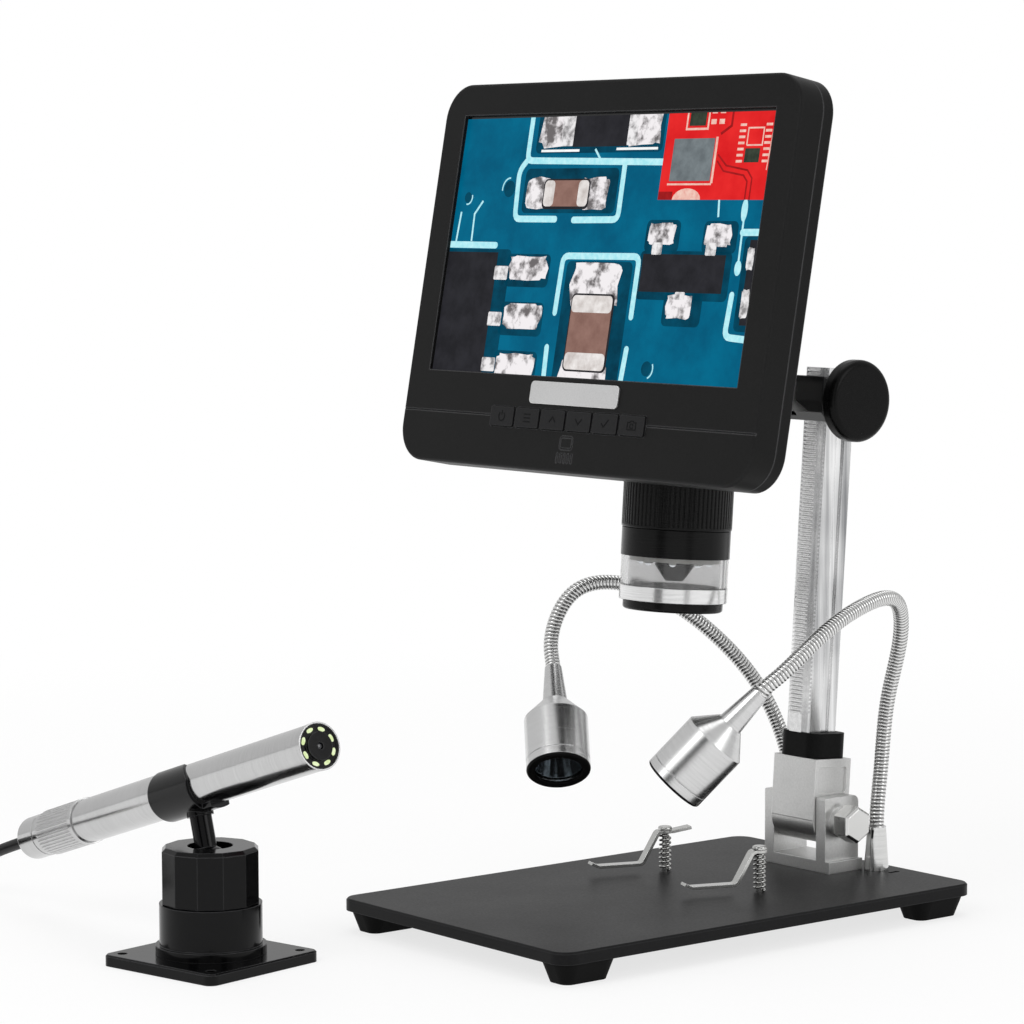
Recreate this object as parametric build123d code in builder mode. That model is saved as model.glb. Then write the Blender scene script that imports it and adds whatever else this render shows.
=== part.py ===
"""Digital microscope with a 7-inch screen on a rack-and-pinion column.

Two gooseneck lamps and two stage clips stand on the base plate, and a tube
camera on a ball-joint stand of its own lies in front.

Millimetres, +Z up, origin on the table under the middle of the base plate.
The screen faces -Y.
"""

import os
from math import acos, atan, cos, degrees, pi, radians, sin, tan

from build123d import *

os.makedirs("parts", exist_ok=True)

# ---------------------------------------------------------------- clearances
running_clearance = 0.05  # radial, on pins, shafts, spigots and turned rings
slide_clearance = 0.05  # each side, on slides and keyed seats
face_gap = 0.1  # between faces that turn or slide past each other
seat_gap = 0.02  # radial, between pieces pressed together in one body

# ---------------------------------------------------------------- base plate
base_width = 115.6
base_depth = 178.1
base_corner = 6.0
base_edge_break = 0.6
foot_height = 7.0
plate_thickness = 4.0
plate_top = foot_height + plate_thickness

foot_top_width = 15.0
foot_top_depth = 24.0
foot_bottom_width = 9.6
foot_bottom_depth = 17.5
foot_corner = 3.0
foot_inset = 1.0

screw_radius = 1.5
screw_head_radius = 2.7
screw_head_height = 1.8
screw_length = 5.0
screw_end_gap = 0.2
foot_screw_seat = 5.0  # height of the plane that the screw heads press on
bracket_screw_recess = 2.0  # depth of the head recess under the plate
bracket_screw_spacing = 12.0

lead_slot_length = 5.0
lead_slot_width = 1.6
lead_slot_x = 27.6
lead_slot_y = 81.0

foot_x = base_width / 2 - foot_inset - foot_top_width / 2
foot_y = base_depth / 2 - foot_inset - foot_top_depth / 2
foot_places = [(sx * foot_x, sy * foot_y) for sx in (-1, 1) for sy in (-1, 1)]

# ------------------------------------------------------------ hinge bracket
pivot_y = 68.0
pivot_z = 28.0
pivot_bore = 3.0
bracket_inner_half = 10.5
bracket_cheek = 4.5
bracket_flange_half = 17.0
bracket_flange_thickness = 4.0
bracket_front = 61.0
bracket_back = 76.5
bracket_top = 36.5
bracket_front_corner = 0.6
bracket_back_corner = 2.5
boss_radius = 5.2
boss_height = 2.5
hex_across_flats = 11.0
hex_height = 6.4
hex_chamfer = 0.8
bracket_outer_half = bracket_inner_half + bracket_cheek
bracket_screw_places = [
    (side * bracket_screw_spacing / 2, pivot_y) for side in (-1, 1)
]

# ------------------------------------------------------------------- column
column_lean = 4.0  # degrees that the column leans back at rest
column_frame = Plane(
    origin=(0, pivot_y, pivot_z),
    x_dir=(1, 0, 0),
    z_dir=(0, sin(radians(column_lean)), cos(radians(column_lean))),
)
block_half = bracket_inner_half - 0.2
block_front = -8.4
block_back = 8.0
block_round = 8.2
block_top = 20.8
window_front = -7.0
window_back = 6.2
window_bottom = 9.3
window_top = 18.0
window_depth = 0.6
window_corner = 1.0

collar_half = 9.2
collar_front = -8.5
collar_back = 7.8
collar_corner = 4.5
collar_height = 8.5

column_half = 5.5
column_front = -7.7
column_back = 4.5
column_seat = 12.0
column_above = 3.0  # column left over the slider at rest
slider_bottom = 135.4  # height of the slider on the column at rest
slider_height = 15.0
column_top = slider_bottom + slider_height + column_above
groove_front = -2.4
groove_back = 1.2
groove_depth = 0.8

gear_module = 0.45
pressure_angle = radians(20)
pinion_teeth = 22
tooth_play = 0.08
rack_half = 2.9
rack_teeth_start = 35.0
rack_back_height = 1.485  # from the column's face to the roots of the teeth
pinion_height = slider_bottom + slider_height / 2
pinion_half = 2.5
pinion_shaft_radius = 3.0
tooth_pitch = pi * gear_module
addendum = gear_module
dedendum = 1.25 * gear_module
pinion_pitch_radius = gear_module * pinion_teeth / 2
rack_root = column_front - rack_back_height
rack_pitch_line = rack_root - dedendum
rack_tip = rack_pitch_line - addendum
pinion_offset = rack_pitch_line - pinion_pitch_radius
pinion_tip_radius = pinion_pitch_radius + addendum

# ------------------------------------------------------------ focus carriage
head_frame = column_frame.offset(slider_bottom)  # heights from here on are over this
slider_half = 17.0
slider_front = -20.5
slider_back = 6.0
slider_chamfer = 3.0
slider_edge = 0.8
pinion_pocket_gap = 0.5

knob_hub_radius = 7.0
knob_hub_length = 7.4
knob_radius = 13.7
knob_thickness = 5.0
knob_edge = 2.2
knob_shaft_depth = 9.0

arm_base_half = 10.0
arm_blade_half = 3.5
arm_blade_start = 6.6
arm_top = 13.6
arm_edge = 0.6

# -------------------------------------------------------------- camera head
barrel_offset = -67.7
hump_half = 22.0
hump_back = -45.0
hump_front = -90.0
hump_nose = -95.0
hump_bottom = -19.4
hump_top = 24.6
hump_edge = 2.5
case_wall = 2.0

barrel_radius = 15.5
barrel_bore = 12.05
barrel_top = 14.6
barrel_flange_radius = 17.95
barrel_flange_bottom = -46.5
barrel_flange_top = -37.4
focus_ring_radius = 18.2
focus_ring_top = -20.9
focus_ring_plain = 1.0
focus_ring_edge = 0.6
knurl_count = 72
knurl_radius = 0.4

shade_radius = 17.7
shade_bore = 15.2
shade_bottom = -61.05
shade_line = -56.1
shade_line_depth = 0.25
bottom_ring_radius = 16.5
bottom_ring_bore = 13.6
bottom_ring_bottom = -64.25
bottom_ring_edge = 1.0
led_board_bore = 7.8
led_board_thickness = 1.5
led_chip = 2.2
led_chip_height = 0.7
led_circle = 11.2
led_count = 8

focus_travel = 3.0
carrier_nose_radius = 6.5
carrier_nose_bottom = -54.5
carrier_cone_top = -49.4
carrier_tip_radius = 3.0
carrier_shoulder = -43.1
carrier_top = -31.4
carrier_pin_radius = 1.2
carrier_pin_root = 1.0  # the pin's length inside the carrier
carrier_pin_height = -34.8
front_lens_radius = 2.2
front_lens_thickness = 1.4
rear_lens_radius = 8.0
rear_lens_thickness = 3.2
lens_recess = 0.4

# ------------------------------------------------------------------- screen
screen_lean = 10.6  # degrees that the screen leans back
screen_offset = -109.452
screen_height = 53.625
screen_frame = Plane(
    origin=head_frame.from_local_coords((0, screen_offset, screen_height)),
    x_dir=(1, 0, 0),
    z_dir=(0, -cos(radians(screen_lean)), sin(radians(screen_lean))),
)
view_half_width = 77.0  # a 7-inch panel shows 154 mm by 86.5 mm
view_half_height = 43.25
panel_side_border = 4.5
panel_top_border = 6.75
panel_bottom_border = 4.75
panel_half = view_half_width + panel_side_border
panel_bottom = -view_half_height - panel_bottom_border
panel_top = view_half_height + panel_top_border
panel_thickness = 5.5
housing_side_room = 4.5  # inside the walls, beside the panel
housing_top_room = 2.0
housing_chin = 24.0
housing_half = panel_half + housing_side_room + case_wall
housing_bottom = panel_bottom - housing_chin - case_wall
housing_top = panel_top + housing_top_room + case_wall
housing_corner = 12.0
housing_edge = 1.0
bezel_depth = 9.5
bezel_wall = 1.5
cover_rim_depth = 4.1
bulge_margin = 16.0
bulge_half = housing_half - bulge_margin
bulge_bottom = housing_bottom + bulge_margin
bulge_top = housing_top - bulge_margin
bulge_depth = 11.4
bulge_corner = 8.0
bulge_edge = 2.0
parting_height = panel_bottom - 9.0
parting_width = 0.4
parting_depth = 0.5
parting_left_end = -40.0
parting_right_start = 38.0

button_count = 6
button_width = 11.8
button_height = 6.4
button_corner = 0.5
button_first = -34.0
button_pitch = 13.07
button_row = panel_bottom - 9.3
button_proud = 0.6
button_travel = 0.5
button_clearance = 0.15
button_flange = 0.5  # each side, behind the front wall
button_flange_thickness = 1.4
button_stem_radius = 1.6
button_back = 4.0
switch_size = 4.0

key_board_half_width = 44.0
key_board_bottom = button_row - 6.7
key_board_top = button_row + 6.3
key_board_front = 5.0
board_thickness = 1.6
board_post_radius = 1.5
main_board_left = -66.0
main_board_right = 34.0
main_board_bottom = -36.0
main_board_top = 24.0
main_board_front = 15.2
battery_side_room = 4.0
battery_width = 30.0
battery_right = bulge_half - battery_side_room
battery_left = battery_right - battery_width
battery_bottom = -38.0
battery_top = 22.0
battery_thickness = 6.0
battery_corner = 2.0
sensor_board_size = 24.0

nameplate_width = 44.0
nameplate_height = 7.4
nameplate_corner = 1.6
nameplate_thickness = 0.6
nameplate_x = 1.0
nameplate_row = -view_half_height - 5.45

grille_row = panel_bottom - 21.3
grille_slots = 5
grille_pitch = 1.8
grille_slot_width = 0.8
grille_slot_height = 3.2
mark_depth = 0.4
key_mark_row = panel_bottom - 16.4
key_mark_width = 6.4
key_mark_height = 4.4
key_mark_corner = 1.2
key_mark_line = 0.5

case_screw_row = housing_bottom + 7.5
case_screw_margins = (8.0, 34.0)  # from the housing's side
case_screw_x = [side * (housing_half - margin) for side in (-1, 1) for margin in case_screw_margins]
case_screw_seat = 1.9
case_post_radius = 3.6
case_screw_length = 6.0
vent_slots = 7
vent_pitch = 7.0
vent_length = 26.0
vent_width = 2.0
vent_row = 22.0

# -------------------------------------------------------------------- lamps
socket_x = 20.5
socket_y = 79.75
socket_base_radius = 4.25
socket_top_radius = 3.25
socket_height = 15.0
spigot_radius = 2.45
spigot_depth = 12.0
hose_radius = 2.55

lamp_neck_length = 14.0
lamp_neck_rear_radius = 2.9
lamp_neck_front_radius = 4.25
lamp_shoulder_radius = 4.6
lamp_shoulder_length = 7.0
lamp_radius = 10.7
lamp_body_length = 19.2
lamp_groove_back = 3.0  # from the groove to the body's front end
lamp_groove_width = 0.3
lamp_groove_depth = 0.25
lamp_bore = 9.0
lamp_bore_start = 3.0  # in front of the shoulder
lamp_bezel_radius = 10.6
lamp_bezel_length = 0.8
lamp_bezel_edge = 0.4
lamp_spigot_length = 5.0
lamp_lens_radius = 8.6
lamp_lens_thickness = 1.5
lamp_lip_radius = 8.0
lamp_lip = 1.2
lamp_ferrule_depth = 3.0

left_hose_points = [
    (-21.0, 74.3, 53.0),
    (-24.5, 67.0, 69.9),
    (-31.0, 52.8, 88.1),
    (-39.0, 31.7, 103.7),
    (-43.0, 19.1, 108.0),
    (-47.5, 3.8, 106.2),
    (-49.0, -4.2, 96.2),
    (-47.3, -7.5, 86.2),
]
left_lamp_rear = (-44.5, -8.9, 81.0)
left_lamp_axis = (0.539, -0.387, -0.748)
right_hose_points = [
    (21.2, 80.9, 45.7),
    (26.0, 79.4, 70.8),
    (34.0, 77.1, 92.4),
    (40.0, 69.4, 104.9),
    (45.5, 48.4, 105.8),
    (49.2, 22.5, 95.9),
    (47.8, 7.7, 85.6),
]
right_lamp_rear = (45.8, 2.7, 81.4)
right_lamp_axis = (-0.477, -0.487, -0.731)

# -------------------------------------------------------------- stage clips
clip_x = 23.7
clip_y = 23.0
clip_turn = 20.0  # degrees from -Y toward -X
clip_width = 4.0
clip_thickness = 1.0
clip_eye_radius = 2.5
clip_post_radius = 1.15
clip_head_radius = 2.4
clip_head_height = 1.2
clip_head_edge = 0.7
clip_tail = 8.9
clip_tail_rise = 1.0
clip_slope_start = 2.8
clip_step = 8.8
clip_flat_end = 24.3
clip_tip = 27.0
clip_high = 24.6
clip_low = 14.0
clip_tip_rise = 1.3
clip_bend = 1.6
spring_wire = 0.35
spring_radius = 1.65
spring_turns = 8

# ------------------------------------------------- tube camera and its stand
ball_x = -42.0
ball_y = -150.0
ball_z = 29.2
scope_pitch = 17.2  # degrees that the tube points up
scope_frame = Plane(
    origin=(ball_x, ball_y, ball_z),
    x_dir=(-sin(radians(scope_pitch)), 0, cos(radians(scope_pitch))),
    z_dir=(cos(radians(scope_pitch)), 0, sin(radians(scope_pitch))),
)
scope_offset = 27.18
ball_radius = 8.2
stem_radius = 3.5

stand_size = 48.5
stand_turn = 11.0
stand_corner = 3.0
stand_edge = 0.5
stand_thickness = 3.6
stand_screw_inset = 4.6
stand_hole_radius = 1.6
stand_body_radius = 16.2
stand_flange_radius = 17.5
stand_flange_top = 6.5
stand_body_top = 19.5
stand_neck_radius = 13.5
stand_neck_top = 24.5
seat_radius = 9.9
seat_floor = 17.0
seat_top = 24.0
seat_ball_gap = 0.3
nut_radius = 15.6
nut_bottom = 19.7
nut_bore_top = 27.0
nut_top = 37.5
nut_mouth = 7.2
nut_facets = 12
nut_edge = 1.2

scope_radius = 7.3
scope_bore = 6.3
scope_tube_rear = -65.4
scope_tube_front = 69.5
scope_spigot = 6.0
scope_flange = 1.1
scope_face_depth = 0.6
scope_face_radius = 6.6
scope_window_count = 8
scope_window_circle = 5.5
scope_window_length = 2.4
scope_window_width = 1.2
scope_window_depth = 0.3
scope_window_turn = 22.5  # degrees of the first window from the top
scope_hub_radius = 4.4
scope_hub_height = 1.1
scope_pinhole = 1.1

collar_ring_radius = 7.75
collar_ring_rear = -67.5
collar_radius = 7.65
collar_rear = -88.9
scope_knurls = 40
scope_knurl_radius = 0.35
scope_cap_radius = 7.2
scope_groove_front = -91.9
scope_groove_rear = -92.4
scope_groove_radius = 6.6
scope_cap_end = -102.9
scope_cap_edge = 1.8

sleeve_rear = -15.4
sleeve_front = 7.4
sleeve_radius = 8.35
sleeve_drop = 0.5  # from the tube's axis down to the middle of the sleeve's outside
sleeve_gap = 5.5
sleeve_cut_rear = -3.0
sleeve_cut_middle = (6.0, 3.0)
sleeve_cut_low = 1.8
sleeve_lip_front = 12.1
sleeve_lip_width = 7.0
stem_collar_radius = 4.3
stem_collar_drop = 9.55  # from the tube's axis down to the collar's foot

cord_radius = 2.0
cord_route = [
    (-173.5, -150.0, 16.9),
    (-185.6, -149.6, 11.3),
    (-197.0, -150.6, 6.3),
    (-209.0, -153.6, 3.0),
    (-220.0, -158.6, 2.2),
    (-225.6, -163.2, 2.15),
]
coil_x = -219.0
coil_y = -192.0
coil_radius = 22.2
coil_width = 17.0
coil_height = 8.6
coil_corner = 4.0

plug_angle = -78.0  # where the cord leaves the coil, degrees from +X
plug_lateral = 33.2  # from the coil's middle to the plug's axis
plug_relief_start = -2.0
plug_relief_length = 19.0
plug_relief_radius = 2.6
plug_body_length = 24.0
plug_body_width = 15.0
plug_body_height = 7.6
plug_body_corner = 2.0
plug_shell_length = 17.0
plug_shell_width = 12.0
plug_shell_height = 4.5


# ---------------------------------------------------------------- functions
def column_side(x):
    """Plane square to X at x: its x runs back and its y runs up the column."""
    return Plane(
        origin=column_frame.from_local_coords((x, 0, 0)),
        x_dir=column_frame.y_dir,
        z_dir=(1, 0, 0),
    )


def head_side(x):
    """Plane square to X at x: its x runs back and its y runs up from the slider."""
    return Plane(
        origin=head_frame.from_local_coords((x, 0, 0)),
        x_dir=head_frame.y_dir,
        z_dir=(1, 0, 0),
    )


def head_face(v):
    """Plane at v behind the pivot that faces forward, its y up from the slider."""
    return Plane(
        origin=head_frame.from_local_coords((0, v, 0)),
        x_dir=(1, 0, 0),
        z_dir=-head_frame.y_dir,
    )


def pinion_plane(x, side):
    """Plane on the pinion's axis that faces outward along X."""
    return Plane(
        origin=column_frame.from_local_coords((x, pinion_offset, pinion_height)),
        x_dir=column_frame.y_dir,
        z_dir=(side, 0, 0),
    )


def barrel_plane(w):
    """Plane square to the barrel's axis at height w over the slider's bottom."""
    return Plane(
        origin=head_frame.from_local_coords((0, barrel_offset, w)),
        x_dir=(1, 0, 0),
        z_dir=head_frame.z_dir,
    )


def barrel_axis():
    """The axis of the lens barrel."""
    return Axis(head_frame.from_local_coords((0, barrel_offset, 0)), head_frame.z_dir)


def involute(angle):
    """Involute function of a pressure angle in radians."""
    return tan(angle) - angle


def pinion_outline():
    """Corner points of the pinion's teeth about the origin, one tooth at 0."""
    base_radius = pinion_pitch_radius * cos(pressure_angle)
    root_radius = pinion_pitch_radius - dedendum
    half_tooth = (tooth_pitch / 2 - tooth_play) / 2 / pinion_pitch_radius
    flank = []
    flank_steps = 3
    for step in range(flank_steps + 1):
        radius = base_radius + (pinion_tip_radius - base_radius) * step / flank_steps
        turned = involute(acos(min(1, base_radius / radius)))
        flank.append((radius, half_tooth + involute(pressure_angle) - turned))
    rising = [(root_radius, flank[0][1])] + flank
    points = []
    for tooth in range(pinion_teeth):
        middle = 2 * pi * tooth / pinion_teeth
        for radius, angle in rising:
            points.append((radius * cos(middle - angle), radius * sin(middle - angle)))
        for radius, angle in reversed(rising):
            points.append((radius * cos(middle + angle), radius * sin(middle + angle)))
    return points


def rack_outline():
    """Corner points of the rack seen from its side: x back, y up."""
    half_tooth = (tooth_pitch / 2 - tooth_play) / 2
    tip_half = half_tooth - addendum * tan(pressure_angle)
    root_half = half_tooth + dedendum * tan(pressure_angle)
    teeth_below = int((pinion_height - rack_teeth_start) / tooth_pitch)
    teeth_above = int((column_top - root_half - pinion_height) / tooth_pitch + 0.5)
    points = [(column_front, block_top), (rack_root, block_top)]
    for tooth in range(-teeth_below, teeth_above):
        middle = pinion_height + (tooth + 0.5) * tooth_pitch
        points.append((rack_root, middle - root_half))
        points.append((rack_tip, middle - tip_half))
        points.append((rack_tip, middle + tip_half))
        points.append((rack_root, middle + root_half))
    points.append((rack_root, column_top))
    points.append((column_front, column_top))
    return points


def scope_plane(t):
    """Plane square to the tube's axis at t in front of the ball's middle."""
    return Plane(
        origin=scope_frame.from_local_coords((scope_offset, 0, t)),
        x_dir=scope_frame.x_dir,
        z_dir=scope_frame.z_dir,
    )


def lamp_plane(rear, axis):
    """Plane through a lamp's axis: x is the radius, y runs forward."""
    forward = Vector(*axis).normalized()
    radial = forward.cross(Vector(0, 0, 1)).normalized()
    return Plane(origin=rear, x_dir=radial, z_dir=radial.cross(forward))


# --------------------------------------------------------------- base plate
with BuildPart() as base_plate:
    with BuildSketch(Plane.XY.offset(foot_height)):
        RectangleRounded(base_width, base_depth, base_corner)
    extrude(amount=plate_thickness)
    chamfer(base_plate.faces().sort_by(Axis.Z)[-1].edges(), base_edge_break)
    with BuildSketch(Plane.XY.offset(foot_height)):
        with Locations(*foot_places):
            Circle(screw_radius + seat_gap)
    extrude(amount=foot_screw_seat + screw_length + screw_end_gap - foot_height, mode=Mode.SUBTRACT)
    with BuildSketch(Plane.XY.offset(foot_height)):
        with Locations(*bracket_screw_places):
            Circle(screw_head_radius + seat_gap)
    extrude(amount=bracket_screw_recess, mode=Mode.SUBTRACT)
    with BuildSketch(Plane.XY.offset(foot_height)):
        with Locations(*bracket_screw_places):
            Circle(screw_radius + seat_gap)
        with Locations((lead_slot_x, lead_slot_y)):
            SlotOverall(lead_slot_length, lead_slot_width, rotation=90)
        with Locations((-clip_x, clip_y), (clip_x, clip_y)):
            Circle(clip_post_radius + seat_gap)
    extrude(amount=plate_thickness, mode=Mode.SUBTRACT)
base_plate.part.label = "base_plate"
export_step(base_plate.part, "parts/base_plate.step")

foot_flare = (foot_top_width - foot_bottom_width) / 2
foot_slope = degrees(atan(foot_flare / foot_height))
with BuildPart() as feet:
    with BuildSketch(Plane.XY):
        with Locations(*foot_places):
            RectangleRounded(foot_bottom_width, foot_bottom_depth, foot_corner)
    extrude(amount=foot_height, taper=-foot_slope)
    with BuildSketch(Plane.XY):
        with Locations(*foot_places):
            Circle(screw_head_radius + seat_gap)
    extrude(amount=foot_screw_seat, mode=Mode.SUBTRACT)
    with BuildSketch(Plane.XY):
        with Locations(*foot_places):
            Circle(screw_radius + seat_gap)
    extrude(amount=foot_height, mode=Mode.SUBTRACT)
feet.part.label = "feet"
export_step(feet.part, "parts/feet.step")

with BuildPart() as base_screws:
    with BuildSketch(Plane.XY.offset(foot_screw_seat - screw_head_height)):
        with Locations(*foot_places):
            Circle(screw_head_radius)
    extrude(amount=screw_head_height)
    with BuildSketch(Plane.XY.offset(foot_screw_seat)):
        with Locations(*foot_places):
            Circle(screw_radius)
    extrude(amount=screw_length)
    with BuildSketch(Plane.XY.offset(foot_height + bracket_screw_recess - screw_head_height)):
        with Locations(*bracket_screw_places):
            Circle(screw_head_radius)
    extrude(amount=screw_head_height)
    with BuildSketch(Plane.XY.offset(foot_height + bracket_screw_recess)):
        with Locations(*bracket_screw_places):
            Circle(screw_radius)
    extrude(amount=screw_length)
base_screws.part.label = "base_screws"
export_step(base_screws.part, "parts/base_screws.step")

# ------------------------------------------------------------ hinge bracket
bracket_middle = (bracket_front + bracket_back) / 2
bracket_floor = plate_top + bracket_flange_thickness
with BuildPart() as hinge_bracket:
    with BuildSketch(Plane.XY.offset(plate_top)):
        with Locations((0, bracket_middle)):
            Rectangle(2 * bracket_flange_half, bracket_back - bracket_front)
    extrude(amount=bracket_flange_thickness)
    with BuildSketch(Plane.YZ.offset(-bracket_outer_half)):
        with Locations((bracket_middle, (plate_top + bracket_top) / 2)):
            Rectangle(bracket_back - bracket_front, bracket_top - plate_top)
    extrude(amount=2 * bracket_outer_half)
    top_edges = hinge_bracket.edges().filter_by(Axis.X).group_by(Axis.Z)[-1]
    fillet(top_edges.sort_by(Axis.Y)[0], bracket_front_corner)
    top_edges = hinge_bracket.edges().filter_by(Axis.X).group_by(Axis.Z)[-1]
    fillet(top_edges.sort_by(Axis.Y)[-1], bracket_back_corner)
    with BuildSketch(Plane.YZ.offset(-bracket_inner_half)):
        with Locations((bracket_middle, (bracket_floor + bracket_top) / 2)):
            Rectangle(bracket_back - bracket_front, bracket_top - bracket_floor)
    extrude(amount=2 * bracket_inner_half, mode=Mode.SUBTRACT)
    with BuildSketch(Plane.YZ.offset(bracket_outer_half)):
        with Locations((pivot_y, pivot_z)):
            Circle(boss_radius)
    extrude(amount=boss_height)
    with BuildSketch(Plane.YZ.offset(-bracket_outer_half)):
        with Locations((pivot_y, pivot_z)):
            Circle(pivot_bore)
    extrude(amount=2 * bracket_outer_half + boss_height, mode=Mode.SUBTRACT)
    with BuildSketch(Plane.XY.offset(plate_top)):
        with Locations(*bracket_screw_places):
            Circle(screw_radius + seat_gap)
    extrude(
        amount=screw_length + screw_end_gap - plate_thickness + bracket_screw_recess,
        mode=Mode.SUBTRACT,
    )
hinge_bracket.part.label = "hinge_bracket"
export_step(hinge_bracket.part, "parts/hinge_bracket.step")

hex_start = bracket_outer_half + boss_height + face_gap
with BuildPart() as pivot_bolt:
    with BuildSketch(Plane.YZ.offset(-bracket_outer_half)):
        with Locations((pivot_y, pivot_z)):
            Circle(pivot_bore - running_clearance)
    extrude(amount=bracket_outer_half + hex_start)
    with BuildSketch(Plane.YZ.offset(hex_start)):
        with Locations((pivot_y, pivot_z)):
            RegularPolygon(hex_across_flats / 2, 6, major_radius=False, rotation=30)
    extrude(amount=hex_height)
    chamfer(pivot_bolt.faces().sort_by(Axis.X)[-1].edges(), hex_chamfer)
pivot_bolt.part.label = "pivot_bolt"
export_step(pivot_bolt.part, "parts/pivot_bolt.step")

# ------------------------------------------------------------------- column
with BuildPart() as column_foot:
    with BuildSketch(column_side(-block_half)):
        Circle(block_round)
        with BuildLine():
            Polyline(
                (block_front, 0),
                (block_back, 0),
                (block_back, block_top),
                (block_front, block_top),
                close=True,
            )
        make_face()
        Circle(pivot_bore, mode=Mode.SUBTRACT)
    extrude(amount=2 * block_half)
    with BuildSketch(column_side(block_half - window_depth)):
        with Locations(((window_front + window_back) / 2, (window_bottom + window_top) / 2)):
            RectangleRounded(window_back - window_front, window_top - window_bottom, window_corner)
    extrude(amount=2 * window_depth, mode=Mode.SUBTRACT)
    with BuildSketch(column_frame.offset(column_seat)):
        with Locations((0, (column_front + column_back) / 2)):
            Rectangle(
                2 * (column_half + seat_gap),
                column_back - column_front + 2 * seat_gap,
            )
    extrude(amount=block_top - column_seat, mode=Mode.SUBTRACT)
column_foot.part.label = "column_foot"
export_step(column_foot.part, "parts/column_foot.step")

column_middle = (column_front + column_back) / 2
column_depth = column_back - column_front
groove_middle = (groove_front + groove_back) / 2
groove_width = groove_back - groove_front

with BuildPart() as column:
    with BuildSketch(column_frame.offset(column_seat)):
        with Locations((0, column_middle)):
            Rectangle(2 * column_half, column_depth)
        with Locations((-column_half, groove_middle), (column_half, groove_middle)):
            Rectangle(2 * groove_depth, groove_width, mode=Mode.SUBTRACT)
    extrude(amount=column_top - column_seat)
column.part.label = "column"
export_step(column.part, "parts/column.step")

with BuildPart() as column_collar:
    with BuildSketch(column_frame.offset(block_top)):
        with Locations((0, (collar_front + collar_back) / 2)):
            RectangleRounded(2 * collar_half, collar_back - collar_front, collar_corner)
        with Locations((0, column_middle)):
            Rectangle(
                2 * (column_half + seat_gap),
                column_depth + 2 * seat_gap,
                mode=Mode.SUBTRACT,
            )
    extrude(amount=collar_height)
column_collar.part.label = "column_collar"
export_step(column_collar.part, "parts/column_collar.step")

collar_top = block_top + collar_height
with BuildPart() as rack:
    with BuildSketch(column_side(-rack_half)):
        with BuildLine():
            Polyline(*rack_outline(), close=True)
        make_face()
        with Locations((column_front, (block_top + collar_top) / 2)):
            Rectangle(4 * rack_back_height, collar_height, mode=Mode.SUBTRACT)
    extrude(amount=2 * rack_half)
rack.part.label = "rack"
export_step(rack.part, "parts/rack.step")

# ------------------------------------------------------------ focus carriage
with BuildPart() as slider:
    with BuildSketch(head_side(-slider_half)):
        with BuildLine():
            Polyline(
                (slider_front + slider_chamfer, 0),
                (slider_back, 0),
                (slider_back, slider_height),
                (slider_front, slider_height),
                (slider_front, slider_chamfer),
                close=True,
            )
        make_face()
    extrude(amount=2 * slider_half)
    chamfer(slider.faces().sort_by(Axis.X)[-1].edges(), slider_edge)
    chamfer(slider.faces().sort_by(Axis.X)[0].edges(), slider_edge)
    with BuildSketch(head_frame):
        with Locations((0, column_middle)):
            Rectangle(
                2 * (column_half + slide_clearance),
                column_depth + 2 * slide_clearance,
            )
        with Locations((-column_half, groove_middle), (column_half, groove_middle)):
            Rectangle(
                2 * (groove_depth - slide_clearance),
                groove_width - 2 * slide_clearance,
                mode=Mode.SUBTRACT,
            )
        with Locations((0, (rack_tip - slide_clearance + column_front) / 2)):
            Rectangle(
                2 * (rack_half + slide_clearance),
                column_front - rack_tip + slide_clearance,
            )
    extrude(amount=slider_height, mode=Mode.SUBTRACT)
    pocket_half = pinion_tip_radius + pinion_pocket_gap
    with BuildSketch(head_side(-rack_half - slide_clearance)):
        with Locations(((slider_front + rack_tip) / 2, slider_height / 2)):
            Rectangle(rack_tip - slider_front, 2 * pocket_half)
    extrude(amount=2 * (rack_half + slide_clearance), mode=Mode.SUBTRACT)
    with BuildSketch(pinion_plane(-slider_half, 1)):
        Circle(pinion_shaft_radius + running_clearance)
    extrude(amount=2 * slider_half, mode=Mode.SUBTRACT)
slider.part.label = "slider"
export_step(slider.part, "parts/slider.step")

with BuildPart() as arm:
    with BuildSketch(head_face(slider_front)):
        with BuildLine():
            Polyline(
                (-arm_base_half, slider_chamfer),
                (arm_base_half, slider_chamfer),
                (arm_blade_half, arm_blade_start),
                (arm_blade_half, arm_top),
                (-arm_blade_half, arm_top),
                (-arm_blade_half, arm_blade_start),
                close=True,
            )
        make_face()
    extrude(amount=slider_front - hump_back)
    blade_top = arm.faces().sort_by(Axis((0, 0, 0), column_frame.z_dir))[-1]
    chamfer(blade_top.edges().filter_by(Axis(blade_top.center(), column_frame.y_dir)), arm_edge)
arm.part.label = "arm"
export_step(arm.part, "parts/arm.step")

hub_start = slider_half + face_gap
shaft_half = hub_start + knob_shaft_depth
with BuildPart() as pinion_shaft:
    with BuildSketch(pinion_plane(-shaft_half, 1)):
        Circle(pinion_shaft_radius)
    extrude(amount=2 * shaft_half)
    with BuildSketch(pinion_plane(-pinion_half, 1)):
        with BuildLine():
            Polyline(*pinion_outline(), close=True)
        make_face()
    extrude(amount=2 * pinion_half)
pinion_shaft.part.label = "pinion_shaft"
export_step(pinion_shaft.part, "parts/pinion_shaft.step")

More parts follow.
